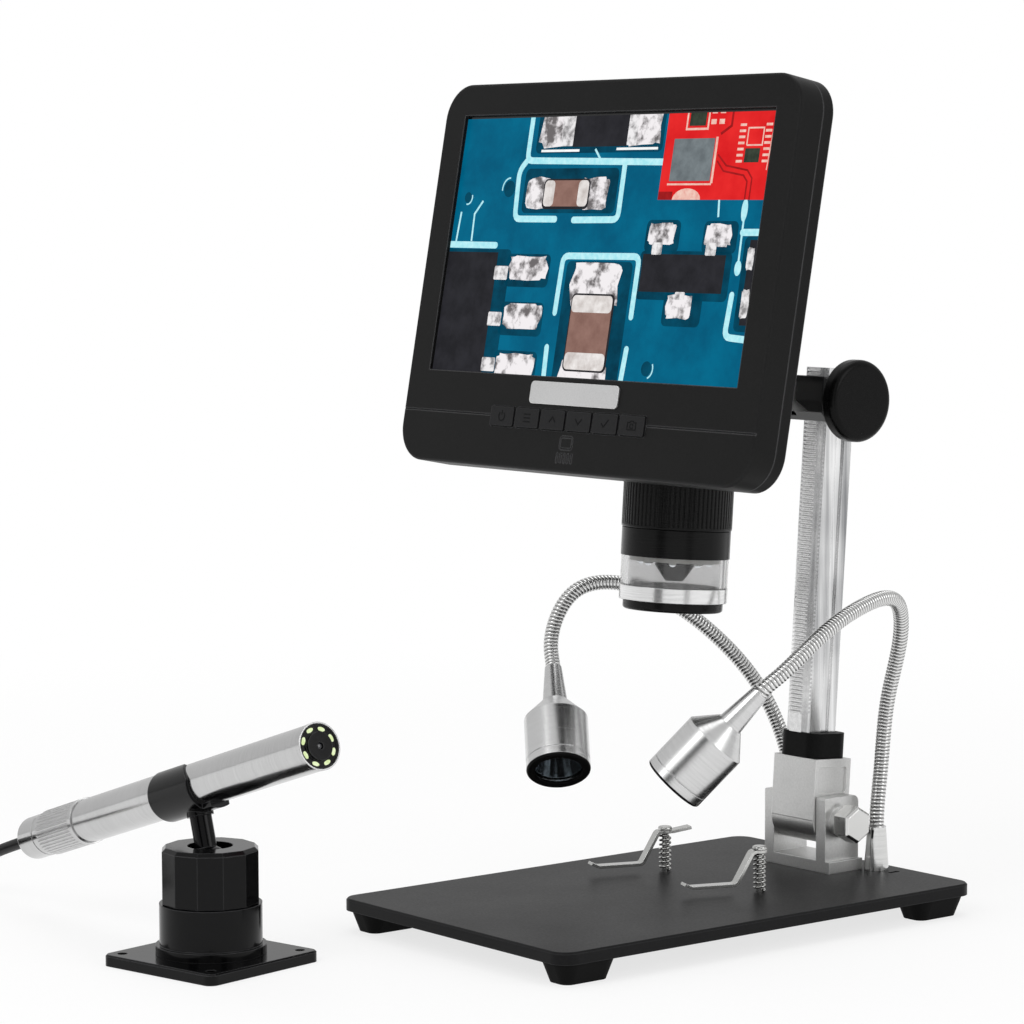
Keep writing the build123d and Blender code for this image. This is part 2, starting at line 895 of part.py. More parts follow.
for name, side in (("focus_knob_left", -1), ("focus_knob_right", 1)):
    with BuildPart() as knob:
        with BuildSketch(pinion_plane(side * hub_start, side)):
            Circle(knob_hub_radius)
        extrude(amount=knob_hub_length)
        with BuildSketch(pinion_plane(side * (hub_start + knob_hub_length), side)):
            Circle(knob_radius)
        extrude(amount=knob_thickness)
        outer_face = knob.faces().sort_by(Axis.X)[-1 if side > 0 else 0]
        fillet(outer_face.edges(), knob_edge)
        with BuildSketch(pinion_plane(side * hub_start, side)):
            Circle(pinion_shaft_radius + seat_gap)
        extrude(amount=knob_shaft_depth, mode=Mode.SUBTRACT)
    knob.part.label = name
    export_step(knob.part, f"parts/{name}.step")

# ------------------------------------------------------ screen housing, front
housing_height = housing_top - housing_bottom
housing_middle = (housing_top + housing_bottom) / 2
button_places = [(button_first + button_pitch * i, button_row) for i in range(button_count)]
key_board_middle = (key_board_bottom + key_board_top) / 2
key_post_places = [
    (sx * (key_board_half_width - board_post_radius), s)
    for sx in (-1, 1)
    for s in (key_board_bottom + board_post_radius, key_board_top - board_post_radius)
]

case_screw_depth = case_screw_length - cover_rim_depth + case_screw_seat + screw_end_gap
case_screw_places = [(x, case_screw_row) for x in case_screw_x]
with BuildPart() as front_bezel:
    with BuildSketch(screen_frame.offset(-bezel_depth)):
        with Locations((0, housing_middle)):
            RectangleRounded(2 * housing_half, housing_height, housing_corner)
    extrude(amount=bezel_depth)
    front_face = front_bezel.faces().sort_by(Axis((0, 0, 0), screen_frame.z_dir))[-1]
    fillet(front_face.edges(), housing_edge)
    with BuildSketch(screen_frame.offset(-bezel_depth)):
        with Locations((0, housing_middle)):
            RectangleRounded(
                2 * (housing_half - case_wall),
                housing_height - 2 * case_wall,
                housing_corner - case_wall,
            )
    extrude(amount=bezel_depth - bezel_wall, mode=Mode.SUBTRACT)
    with BuildSketch(screen_frame.offset(-bezel_wall)):
        Rectangle(2 * view_half_width, 2 * view_half_height)
        with Locations(*button_places):
            RectangleRounded(
                button_width + 2 * button_clearance,
                button_height + 2 * button_clearance,
                button_corner + button_clearance,
            )
    extrude(amount=bezel_wall, mode=Mode.SUBTRACT)
    with BuildSketch(screen_frame.offset(-parting_depth)):
        with Locations(((parting_left_end - housing_half) / 2, parting_height)):
            Rectangle(parting_left_end + housing_half, parting_width)
        with Locations(((parting_right_start + housing_half) / 2, parting_height)):
            Rectangle(housing_half - parting_right_start, parting_width)
    extrude(amount=parting_depth, mode=Mode.SUBTRACT)
    with BuildSketch(screen_frame.offset(-mark_depth)):
        with Locations((0, grille_row)):
            with GridLocations(grille_pitch, 1, grille_slots, 1):
                SlotOverall(grille_slot_height, grille_slot_width, rotation=90)
        with Locations((0, key_mark_row)):
            RectangleRounded(key_mark_width, key_mark_height, key_mark_corner)
            RectangleRounded(
                key_mark_width - 2 * key_mark_line,
                key_mark_height - 2 * key_mark_line,
                key_mark_corner - key_mark_line,
                mode=Mode.SUBTRACT,
            )
    extrude(amount=mark_depth, mode=Mode.SUBTRACT)
    with BuildSketch(screen_frame.offset(-key_board_front)):
        with Locations(*key_post_places):
            Circle(board_post_radius)
    extrude(amount=key_board_front - bezel_wall)
    with BuildSketch(screen_frame.offset(-bezel_depth)):
        with Locations(*case_screw_places):
            Circle(case_post_radius)
    extrude(amount=bezel_depth - bezel_wall)
    with BuildSketch(screen_frame.offset(-bezel_depth)):
        with Locations(*case_screw_places):
            Circle(screw_radius + seat_gap)
    extrude(amount=case_screw_depth, mode=Mode.SUBTRACT)
front_bezel.part.label = "front_bezel"
export_step(front_bezel.part, "parts/front_bezel.step")

with BuildPart() as nameplate:
    with BuildSketch(screen_frame):
        with Locations((nameplate_x, nameplate_row)):
            RectangleRounded(nameplate_width, nameplate_height, nameplate_corner)
    extrude(amount=nameplate_thickness)
nameplate.part.label = "nameplate"
export_step(nameplate.part, "parts/nameplate.step")

with BuildPart() as lcd_panel:
    with BuildSketch(screen_frame.offset(-bezel_wall - panel_thickness)):
        with Locations((0, (panel_top + panel_bottom) / 2)):
            Rectangle(2 * panel_half, panel_top - panel_bottom)
    extrude(amount=panel_thickness)
lcd_panel.part.label = "lcd_panel"
export_step(lcd_panel.part, "parts/lcd_panel.step")

for number, place in enumerate(button_places, start=1):
    with BuildPart() as button:
        with BuildSketch(screen_frame.offset(-bezel_wall - face_gap)):
            with Locations(place):
                RectangleRounded(button_width, button_height, button_corner)
        extrude(amount=bezel_wall + face_gap + button_proud)
        with BuildSketch(screen_frame.offset(-bezel_wall - face_gap - button_flange_thickness)):
            with Locations(place):
                Rectangle(button_width + 2 * button_flange, button_height + 2 * button_flange)
        extrude(amount=button_flange_thickness)
        with BuildSketch(screen_frame.offset(-button_back)):
            with Locations(place):
                Circle(button_stem_radius)
        extrude(amount=button_back - bezel_wall - face_gap)
    button.part.label = f"button_{number}"
    export_step(button.part, f"parts/button_{number}.step")

# ------------------------------------------------- screen housing, back cover
cover_back = bezel_depth + cover_rim_depth
bulge_back = cover_back + bulge_depth
bulge_middle = (bulge_top + bulge_bottom) / 2
main_board_places = [
    (x, s)
    for x in (main_board_left + board_post_radius, main_board_right - board_post_radius)
    for s in (main_board_bottom + board_post_radius, main_board_top - board_post_radius)
]

with BuildPart() as back_cover:
    with BuildSketch(screen_frame.offset(-cover_back)):
        with Locations((0, housing_middle)):
            RectangleRounded(2 * housing_half, housing_height, housing_corner)
    extrude(amount=cover_rim_depth)
    with BuildSketch(screen_frame.offset(-bulge_back)):
        with Locations((0, bulge_middle)):
            RectangleRounded(2 * bulge_half, bulge_top - bulge_bottom, bulge_corner)
    extrude(amount=bulge_depth)
    rear_face = back_cover.faces().sort_by(Axis((0, 0, 0), screen_frame.z_dir))[0]
    fillet(rear_face.edges(), bulge_edge)
    with BuildSketch(head_side(-hump_half)):
        with BuildLine():
            Polyline(
                (hump_back, hump_bottom),
                (hump_front, hump_bottom),
                (hump_nose, hump_bottom + (hump_front - hump_nose)),
                (hump_front - case_wall, hump_top),
                (hump_back, hump_top),
                close=True,
            )
        make_face()
    extrude(amount=2 * hump_half)
    hump_edges = back_cover.edges().filter_by(Axis((0, 0, 0), column_frame.z_dir))
    fillet(hump_edges.filter_by(lambda e: abs(e.length - (hump_top - hump_bottom)) < 1), hump_edge)
    with BuildSketch(screen_frame.offset(-bulge_back + case_wall)):
        with Locations((0, bulge_middle)):
            RectangleRounded(
                2 * (bulge_half - case_wall),
                bulge_top - bulge_bottom - 2 * case_wall,
                bulge_corner - case_wall,
            )
    extrude(amount=bulge_back - case_wall - bezel_depth, mode=Mode.SUBTRACT)
    with BuildSketch(screen_frame.offset(-cover_back + case_wall)):
        with Locations((0, housing_middle)):
            RectangleRounded(
                2 * (housing_half - case_wall),
                housing_height - 2 * case_wall,
                housing_corner - case_wall,
            )
    extrude(amount=cover_rim_depth - case_wall, mode=Mode.SUBTRACT)
    with BuildSketch(head_side(-hump_half + case_wall)):
        with BuildLine():
            Polyline(
                (hump_back - case_wall, hump_bottom + case_wall),
                (hump_front, hump_bottom + case_wall),
                (hump_nose + case_wall, hump_bottom + (hump_front - hump_nose) + case_wall),
                (hump_front - case_wall, hump_top - case_wall),
                (hump_back - case_wall, hump_top - case_wall),
                close=True,
            )
        make_face()
    extrude(amount=2 * (hump_half - case_wall), mode=Mode.SUBTRACT)
    with BuildSketch(barrel_plane(hump_bottom)):
        Circle(barrel_radius + seat_gap)
    extrude(amount=case_wall, mode=Mode.SUBTRACT)
    with BuildSketch(screen_frame.offset(-bulge_back + case_wall)):
        with Locations(*main_board_places):
            Circle(board_post_radius)
    extrude(amount=bulge_back - case_wall - main_board_front - board_thickness)
    with BuildSketch(screen_frame.offset(-cover_back)):
        with Locations(*case_screw_places):
            Circle(case_post_radius)
    extrude(amount=cover_rim_depth)
    with BuildSketch(screen_frame.offset(-cover_back)):
        with Locations(*case_screw_places):
            Circle(screw_head_radius + seat_gap)
    extrude(amount=case_screw_seat, mode=Mode.SUBTRACT)
    with BuildSketch(screen_frame.offset(-cover_back)):
        with Locations(*case_screw_places):
            Circle(screw_radius + seat_gap)
    extrude(amount=cover_rim_depth, mode=Mode.SUBTRACT)
    with BuildSketch(screen_frame.offset(-bulge_back)):
        with Locations((0, vent_row)):
            with GridLocations(vent_pitch, 1, vent_slots, 1):
                SlotOverall(vent_length, vent_width, rotation=90)
    extrude(amount=case_wall, mode=Mode.SUBTRACT)
back_cover.part.label = "back_cover"
export_step(back_cover.part, "parts/back_cover.step")

with BuildPart() as case_screws:
    with BuildSketch(screen_frame.offset(-cover_back + case_screw_seat - screw_head_height)):
        with Locations(*case_screw_places):
            Circle(screw_head_radius)
    extrude(amount=screw_head_height)
    with BuildSketch(screen_frame.offset(-cover_back + case_screw_seat)):
        with Locations(*case_screw_places):
            Circle(screw_radius)
    extrude(amount=case_screw_length)
case_screws.part.label = "case_screws"
export_step(case_screws.part, "parts/case_screws.step")

main_board_middle = (
    (main_board_left + main_board_right) / 2,
    (main_board_bottom + main_board_top) / 2,
)
with BuildPart() as circuit_boards:
    with BuildSketch(screen_frame.offset(-main_board_front - board_thickness)):
        with Locations(main_board_middle):
            Rectangle(main_board_right - main_board_left, main_board_top - main_board_bottom)
    extrude(amount=board_thickness)
    with BuildSketch(screen_frame.offset(-key_board_front - board_thickness)):
        with Locations((0, key_board_middle)):
            Rectangle(2 * key_board_half_width, key_board_top - key_board_bottom)
    extrude(amount=board_thickness)
    with BuildSketch(screen_frame.offset(-key_board_front)):
        with Locations(*button_places):
            Rectangle(switch_size, switch_size)
    extrude(amount=key_board_front - button_back - button_travel - face_gap)
    with BuildSketch(barrel_plane(barrel_top)):
        Rectangle(sensor_board_size, sensor_board_size)
    extrude(amount=board_thickness)
circuit_boards.part.label = "circuit_boards"
export_step(circuit_boards.part, "parts/circuit_boards.step")

with BuildPart() as battery:
    with BuildSketch(screen_frame.offset(-bulge_back + case_wall)):
        with Locations(((battery_left + battery_right) / 2, (battery_bottom + battery_top) / 2)):
            RectangleRounded(battery_width, battery_top - battery_bottom, battery_corner)
    extrude(amount=battery_thickness)
battery.part.label = "battery"
export_step(battery.part, "parts/battery.step")

# -------------------------------------------------------------- lens barrel
with BuildPart() as lens_barrel:
    with BuildSketch(barrel_plane(barrel_flange_bottom)):
        Circle(barrel_flange_radius)
        Circle(barrel_bore, mode=Mode.SUBTRACT)
    extrude(amount=barrel_flange_top - barrel_flange_bottom)
    with BuildSketch(barrel_plane(barrel_flange_bottom)):
        Circle(barrel_radius)
        Circle(barrel_bore, mode=Mode.SUBTRACT)
    extrude(amount=barrel_top - barrel_flange_bottom)
    with BuildSketch(head_face(barrel_offset)):
        with Locations((0, carrier_pin_height)):
            SlotOverall(
                2 * (focus_travel + carrier_pin_radius + running_clearance),
                2 * (carrier_pin_radius + running_clearance),
                rotation=90,
            )
    extrude(amount=barrel_radius + face_gap, mode=Mode.SUBTRACT)
lens_barrel.part.label = "lens_barrel"
export_step(lens_barrel.part, "parts/lens_barrel.step")

focus_ring_bottom = barrel_flange_top + face_gap
with BuildPart() as focus_ring:
    with BuildSketch(barrel_plane(focus_ring_bottom)):
        Circle(focus_ring_radius)
    extrude(amount=focus_ring_plain)
    fillet(focus_ring.edges().sort_by(Axis.Z)[0], focus_ring_edge)
    with BuildSketch(barrel_plane(focus_ring_bottom + focus_ring_plain)):
        Circle(focus_ring_radius)
        with PolarLocations(focus_ring_radius, knurl_count):
            Circle(knurl_radius, mode=Mode.SUBTRACT)
    extrude(amount=focus_ring_top - focus_ring_bottom - focus_ring_plain)
    with BuildSketch(barrel_plane(focus_ring_bottom)):
        Circle(barrel_radius + running_clearance)
    extrude(amount=focus_ring_top - focus_ring_bottom, mode=Mode.SUBTRACT)
focus_ring.part.label = "focus_ring"
export_step(focus_ring.part, "parts/focus_ring.step")

with BuildPart() as shade_ring:
    with BuildSketch(barrel_plane(shade_bottom)):
        Circle(shade_radius)
    extrude(amount=barrel_flange_bottom - shade_bottom)
    with BuildSketch(barrel_plane(shade_line)):
        Circle(shade_radius + shade_line_depth)
        Circle(shade_radius - shade_line_depth, mode=Mode.SUBTRACT)
    extrude(amount=shade_line_depth, mode=Mode.SUBTRACT)
    with BuildSketch(barrel_plane(shade_bottom)):
        Circle(shade_bore)
    extrude(amount=barrel_flange_bottom - shade_bottom, mode=Mode.SUBTRACT)
shade_ring.part.label = "shade_ring"
export_step(shade_ring.part, "parts/shade_ring.step")

with BuildPart() as bottom_ring:
    with BuildSketch(barrel_plane(bottom_ring_bottom)):
        Circle(bottom_ring_radius)
    extrude(amount=shade_bottom - bottom_ring_bottom)
    fillet(bottom_ring.edges().sort_by(Axis.Z)[0], bottom_ring_edge)
    with BuildSketch(barrel_plane(bottom_ring_bottom)):
        Circle(bottom_ring_bore)
    extrude(amount=shade_bottom - bottom_ring_bottom, mode=Mode.SUBTRACT)
bottom_ring.part.label = "bottom_ring"
export_step(bottom_ring.part, "parts/bottom_ring.step")

led_board_bottom = barrel_flange_bottom - led_board_thickness
with BuildPart() as led_ring:
    with BuildSketch(barrel_plane(led_board_bottom)):
        Circle(shade_bore - seat_gap)
        Circle(led_board_bore, mode=Mode.SUBTRACT)
    extrude(amount=led_board_thickness)
    with BuildSketch(barrel_plane(led_board_bottom - led_chip_height)):
        with PolarLocations(led_circle, led_count):
            Rectangle(led_chip, led_chip)
    extrude(amount=led_chip_height)
led_ring.part.label = "led_ring"
export_step(led_ring.part, "parts/led_ring.step")

rear_lens_bottom = carrier_top - lens_recess - rear_lens_thickness
front_lens_bottom = carrier_nose_bottom + lens_recess
with BuildPart() as lens_carrier:
    with BuildSketch(head_face(barrel_offset)):
        with BuildLine():
            Polyline(
                (0, carrier_nose_bottom),
                (carrier_tip_radius, carrier_nose_bottom),
                (carrier_nose_radius, carrier_cone_top),
                (carrier_nose_radius, carrier_shoulder),
                (barrel_bore - running_clearance, carrier_shoulder),
                (barrel_bore - running_clearance, carrier_top),
                (0, carrier_top),
                close=True,
            )
        make_face()
    revolve(axis=barrel_axis())
    with BuildSketch(barrel_plane(rear_lens_bottom)):
        Circle(rear_lens_radius + seat_gap)
    extrude(amount=carrier_top - rear_lens_bottom, mode=Mode.SUBTRACT)
    with BuildSketch(barrel_plane(carrier_nose_bottom)):
        Circle(front_lens_radius + seat_gap)
    extrude(amount=lens_recess + front_lens_thickness, mode=Mode.SUBTRACT)
    with BuildSketch(barrel_plane(carrier_nose_bottom)):
        Circle(front_lens_radius - lens_recess)
    extrude(amount=carrier_top - carrier_nose_bottom, mode=Mode.SUBTRACT)
    with BuildSketch(head_face(barrel_offset - barrel_bore + carrier_pin_root)):
        with Locations((0, carrier_pin_height)):
            Circle(carrier_pin_radius)
    extrude(amount=barrel_radius - face_gap - barrel_bore + carrier_pin_root)
lens_carrier.part.label = "lens_carrier"
export_step(lens_carrier.part, "parts/lens_carrier.step")

with BuildPart() as objective_lenses:
    with BuildSketch(barrel_plane(front_lens_bottom)):
        Circle(front_lens_radius)
    extrude(amount=front_lens_thickness)
    with BuildSketch(barrel_plane(rear_lens_bottom)):
        Circle(rear_lens_radius)
    extrude(amount=rear_lens_thickness)
objective_lenses.part.label = "objective_lenses"
export_step(objective_lenses.part, "parts/objective_lenses.step")

# -------------------------------------------------------------------- lamps
socket_top = plate_top + socket_height
spigot_bottom = socket_top - spigot_depth
with BuildPart() as lamp_sockets:
    with Locations((-socket_x, socket_y, plate_top), (socket_x, socket_y, plate_top)):
        Cone(
            socket_base_radius,
            socket_top_radius,
            socket_height,
            align=(Align.CENTER, Align.CENTER, Align.MIN),
        )
    with BuildSketch(Plane.XY.offset(spigot_bottom - face_gap)):
        with Locations((-socket_x, socket_y), (socket_x, socket_y)):
            Circle(spigot_radius + running_clearance)
    extrude(amount=spigot_depth + face_gap, mode=Mode.SUBTRACT)
lamp_sockets.part.label = "lamp_sockets"
export_step(lamp_sockets.part, "parts/lamp_sockets.step")

body_start = lamp_neck_length + lamp_shoulder_length
body_end = body_start + lamp_body_length
bore_start = body_start + lamp_bore_start
groove_start = body_end - lamp_groove_back
lamp_length = body_end + lamp_bezel_length
lamps = (
    ("left", -socket_x, left_hose_points, left_lamp_rear, left_lamp_axis),
    ("right", socket_x, right_hose_points, right_lamp_rear, right_lamp_axis),
)
for name, root_x, hose_points, rear, axis in lamps:
    forward = Vector(*axis).normalized()
    hose_start = Vector(root_x, socket_y, socket_top + face_gap)
    lamp_axis = Axis(rear, axis)
    with BuildPart() as gooseneck:
        with BuildLine():
            hose_path = Spline(hose_start, *hose_points, rear, tangents=((0, 0, 1), forward))
            Line(rear, Vector(*rear) + forward * lamp_ferrule_depth)
        with BuildSketch(Plane(origin=hose_start, z_dir=hose_path % 0)):
            Circle(hose_radius)
        sweep()
        with BuildSketch(Plane.XY.offset(spigot_bottom)):
            with Locations((root_x, socket_y)):
                Circle(spigot_radius)
        extrude(amount=spigot_depth + face_gap)
    gooseneck.part.label = f"{name}_gooseneck"
    export_step(gooseneck.part, f"parts/{name}_gooseneck.step")

    with BuildPart() as lamp_head:
        with BuildSketch(lamp_plane(rear, axis)):
            with BuildLine():
                Polyline(
                    (0, 0),
                    (lamp_neck_rear_radius, 0),
                    (lamp_neck_front_radius, lamp_neck_length),
                    (lamp_shoulder_radius, lamp_neck_length),
                    (lamp_radius, body_start),
                    (lamp_radius, groove_start),
                    (lamp_radius - lamp_groove_depth, groove_start),
                    (lamp_radius - lamp_groove_depth, groove_start + lamp_groove_width),
                    (lamp_radius, groove_start + lamp_groove_width),
                    (lamp_radius, body_end),
                    (lamp_bore, body_end),
                    (lamp_bore, bore_start),
                    (0, bore_start),
                    close=True,
                )
            make_face()
            with Locations(((hose_radius + seat_gap) / 2, lamp_ferrule_depth / 2)):
                Rectangle(hose_radius + seat_gap, lamp_ferrule_depth, mode=Mode.SUBTRACT)
        revolve(axis=lamp_axis)
    lamp_head.part.label = f"{name}_lamp_head"
    export_step(lamp_head.part, f"parts/{name}_lamp_head.step")

    with BuildPart() as lamp_bezel:
        with BuildSketch(lamp_plane(rear, axis)):
            with BuildLine():
                Polyline(
                    (lamp_lens_radius + seat_gap, body_end - lamp_spigot_length),
                    (lamp_bore - seat_gap, body_end - lamp_spigot_length),
                    (lamp_bore - seat_gap, body_end),
                    (lamp_bezel_radius, body_end),
                    (lamp_bezel_radius, lamp_length - lamp_bezel_edge),
                    (lamp_bezel_radius - lamp_bezel_edge, lamp_length),
                    (lamp_lip_radius, lamp_length),
                    (lamp_lip_radius, lamp_length - lamp_lip),
                    (lamp_lens_radius + seat_gap, lamp_length - lamp_lip),
                    close=True,
                )
            make_face()
        revolve(axis=lamp_axis)
    lamp_bezel.part.label = f"{name}_lamp_bezel"
    export_step(lamp_bezel.part, f"parts/{name}_lamp_bezel.step")

    with BuildPart() as lamp_lens:
        lens_place = Vector(*rear) + forward * (lamp_length - lamp_lip - lamp_lens_thickness)
        with BuildSketch(Plane(origin=lens_place, z_dir=forward)):
            Circle(lamp_lens_radius)
        extrude(amount=lamp_lens_thickness)
    lamp_lens.part.label = f"{name}_lamp_lens"
    export_step(lamp_lens.part, f"parts/{name}_lamp_lens.step")

# -------------------------------------------------------------- stage clips
clip_head_bottom = clip_high + clip_thickness / 2 + face_gap
with BuildPart() as clip_posts:
    with BuildSketch(Plane.XY.offset(foot_height)):
        with Locations((-clip_x, clip_y), (clip_x, clip_y)):
            Circle(clip_post_radius)
    extrude(amount=clip_head_bottom - foot_height)
    with BuildSketch(Plane.XY.offset(clip_head_bottom)):
        with Locations((-clip_x, clip_y), (clip_x, clip_y)):
            Circle(clip_head_radius)
    extrude(amount=clip_head_height)
    fillet(clip_posts.edges().group_by(Axis.Z)[-1], clip_head_edge)
clip_posts.part.label = "clip_posts"
export_step(clip_posts.part, "parts/clip_posts.step")

clip_dir = Vector(-sin(radians(clip_turn)), -cos(radians(clip_turn)), 0)
spring_height = clip_high - clip_thickness / 2 - plate_top - 2 * spring_wire - 2 * face_gap
left_tail = [(-clip_tail, clip_high + clip_tail_rise), (-clip_eye_radius, clip_high)]
right_tail = [(0, clip_high)]
for name, side, tail in (("left", -1, left_tail), ("right", 1, right_tail)):
    post = Vector(side * clip_x, clip_y, 0)
    with BuildPart() as clip_spring:
        spring_start = post + Vector(0, 0, plate_top + spring_wire + face_gap)
        with BuildLine():
            spring_path = Helix(
                pitch=spring_height / spring_turns,
                height=spring_height,
                radius=spring_radius,
                center=spring_start,
            )
        with BuildSketch(Plane(origin=spring_path @ 0, z_dir=spring_path % 0)):
            Circle(spring_wire)
        sweep(path=spring_path, is_frenet=True)
    clip_spring.part.label = f"{name}_clip_spring"
    export_step(clip_spring.part, f"parts/{name}_clip_spring.step")

    with BuildPart() as clip_arm:
        arm_plane = Plane(origin=post, x_dir=clip_dir, z_dir=clip_dir.cross(Vector(0, 0, 1)))
        with BuildSketch(arm_plane.offset(-clip_width / 2)):
            with BuildLine():
                FilletPolyline(
                    *tail,
                    (clip_slope_start, clip_high),
                    (clip_step, clip_low),
                    (clip_flat_end, clip_low),
                    (clip_tip, clip_low + clip_tip_rise),
                    radius=clip_bend,
                )
            trace(line_width=clip_thickness)
        extrude(amount=clip_width)
        with BuildSketch(Plane.XY.offset(clip_high - clip_thickness / 2)):
            with Locations(post):
                Circle(clip_eye_radius)
        extrude(amount=clip_thickness)
        with BuildSketch(Plane.XY.offset(clip_high - clip_thickness / 2)):
            with Locations(post):
                Circle(clip_post_radius + running_clearance)
        extrude(amount=clip_thickness, mode=Mode.SUBTRACT)
    clip_arm.part.label = f"{name}_clip_arm"
    export_step(clip_arm.part, f"parts/{name}_clip_arm.step")

# ------------------------------------------------------- tube camera's stand
stand_x_dir = (cos(radians(stand_turn)), sin(radians(stand_turn)), 0)
stand_plane = Plane(origin=(ball_x, ball_y, 0), x_dir=stand_x_dir)
stand_screw_spacing = stand_size - 2 * stand_screw_inset
with BuildPart() as stand_foot:
    with BuildSketch(stand_plane):
        RectangleRounded(stand_size, stand_size, stand_corner)
        with GridLocations(stand_screw_spacing, stand_screw_spacing, 2, 2):
            Circle(stand_hole_radius, mode=Mode.SUBTRACT)
    extrude(amount=stand_thickness)
    chamfer(stand_foot.faces().sort_by(Axis.Z)[-1].outer_wire().edges(), stand_edge)
stand_foot.part.label = "stand_foot"
export_step(stand_foot.part, "parts/stand_foot.step")

with BuildPart() as stand_body:
    with BuildSketch(stand_plane.offset(stand_thickness)):
        Circle(stand_flange_radius)
    extrude(amount=stand_flange_top - stand_thickness)
    with BuildSketch(stand_plane.offset(stand_flange_top)):
        Circle(stand_body_radius)
    extrude(amount=stand_body_top - stand_flange_top)
    with BuildSketch(stand_plane.offset(stand_body_top)):
        Circle(stand_neck_radius)
    extrude(amount=stand_neck_top - stand_body_top)
    with BuildSketch(stand_plane.offset(seat_floor)):
        Circle(seat_radius + running_clearance)
    extrude(amount=stand_neck_top - seat_floor, mode=Mode.SUBTRACT)
stand_body.part.label = "stand_body"
export_step(stand_body.part, "parts/stand_body.step")

with BuildPart() as lock_nut:
    with BuildSketch(stand_plane.offset(nut_bottom)):
        RegularPolygon(nut_radius, nut_facets)
    extrude(amount=nut_top - nut_bottom)
    chamfer(lock_nut.faces().sort_by(Axis.Z)[-1].edges(), nut_edge)
    with BuildSketch(stand_plane.offset(nut_bottom)):
        Circle(stand_neck_radius + running_clearance)
    extrude(amount=nut_bore_top - nut_bottom, mode=Mode.SUBTRACT)
    with BuildSketch(stand_plane.offset(nut_bore_top)):
        Circle(ball_radius + seat_ball_gap)
    extrude(amount=ball_z - nut_bore_top, mode=Mode.SUBTRACT)
    with Locations((ball_x, ball_y, ball_z)):
        Sphere(ball_radius + seat_ball_gap, mode=Mode.SUBTRACT)
    with BuildSketch(stand_plane.offset(ball_z)):
        Circle(nut_mouth)
    extrude(amount=nut_top - ball_z, mode=Mode.SUBTRACT)
lock_nut.part.label = "lock_nut"
export_step(lock_nut.part, "parts/lock_nut.step")

with BuildPart() as ball_seat:
    with BuildSketch(stand_plane.offset(seat_floor + face_gap)):
        Circle(seat_radius)
    extrude(amount=seat_top - seat_floor - face_gap)
    with Locations((ball_x, ball_y, ball_z)):
        Sphere(ball_radius + seat_ball_gap, mode=Mode.SUBTRACT)
ball_seat.part.label = "ball_seat"
export_step(ball_seat.part, "parts/ball_seat.step")

# -------------------------------------------------------------- tube camera
scope_up = Plane(
    origin=(ball_x, ball_y, ball_z),
    x_dir=scope_frame.z_dir,
    z_dir=scope_frame.x_dir,
)
with BuildPart() as ball_stem:
    with Locations((ball_x, ball_y, ball_z)):
        Sphere(ball_radius)
    with BuildSketch(scope_up):
        Circle(stem_radius)
    extrude(amount=scope_offset - stem_collar_drop)
ball_stem.part.label = "ball_stem"
export_step(ball_stem.part, "parts/ball_stem.step")

scope_side = Plane(origin=scope_plane(0).origin, x_dir=scope_frame.x_dir, z_dir=(0, 1, 0))
with BuildPart() as scope_clip:
    with BuildSketch(scope_plane(sleeve_rear)):
        with Locations((-sleeve_drop, 0)):
            Circle(sleeve_radius)
    extrude(amount=sleeve_front - sleeve_rear)
    with BuildSketch(scope_plane(sleeve_front)):
        with Locations((-sleeve_drop, 0)):
            Circle(sleeve_radius)
        with Locations((-sleeve_drop - sleeve_radius / 2, 0)):
            Rectangle(sleeve_radius, sleeve_lip_width, mode=Mode.INTERSECT)
    extrude(amount=sleeve_lip_front - sleeve_front)
    with BuildSketch(scope_up.offset(scope_offset - stem_collar_drop)):
        Circle(stem_collar_radius)
    extrude(amount=stem_collar_drop)
    with BuildSketch(scope_side.offset(-sleeve_radius)):
        with BuildLine():
            ThreePointArc(
                (sleeve_radius, sleeve_cut_rear),
                sleeve_cut_middle,
                (sleeve_cut_low, sleeve_front),
            )
            Polyline(
                (sleeve_cut_low, sleeve_front),
                (sleeve_radius, sleeve_front),
                (sleeve_radius, sleeve_cut_rear),
            )
        make_face()
    extrude(amount=2 * sleeve_radius, mode=Mode.SUBTRACT)
    with BuildSketch(scope_plane(sleeve_rear)):
        Circle(scope_radius + seat_gap)
    extrude(amount=sleeve_lip_front - sleeve_rear, mode=Mode.SUBTRACT)
    with BuildSketch(scope_plane(sleeve_rear)):
        with Locations((sleeve_radius / 2, 0)):
            Rectangle(sleeve_radius, sleeve_gap)
    extrude(amount=sleeve_front - sleeve_rear, mode=Mode.SUBTRACT)
scope_clip.part.label = "scope_clip"
export_step(scope_clip.part, "parts/scope_clip.step")

with BuildPart() as scope_tube:
    with BuildSketch(scope_plane(scope_tube_rear)):
        Circle(scope_radius)
        Circle(scope_bore, mode=Mode.SUBTRACT)
    extrude(amount=scope_tube_front - scope_tube_rear)
scope_tube.part.label = "scope_tube"
export_step(scope_tube.part, "parts/scope_tube.step")

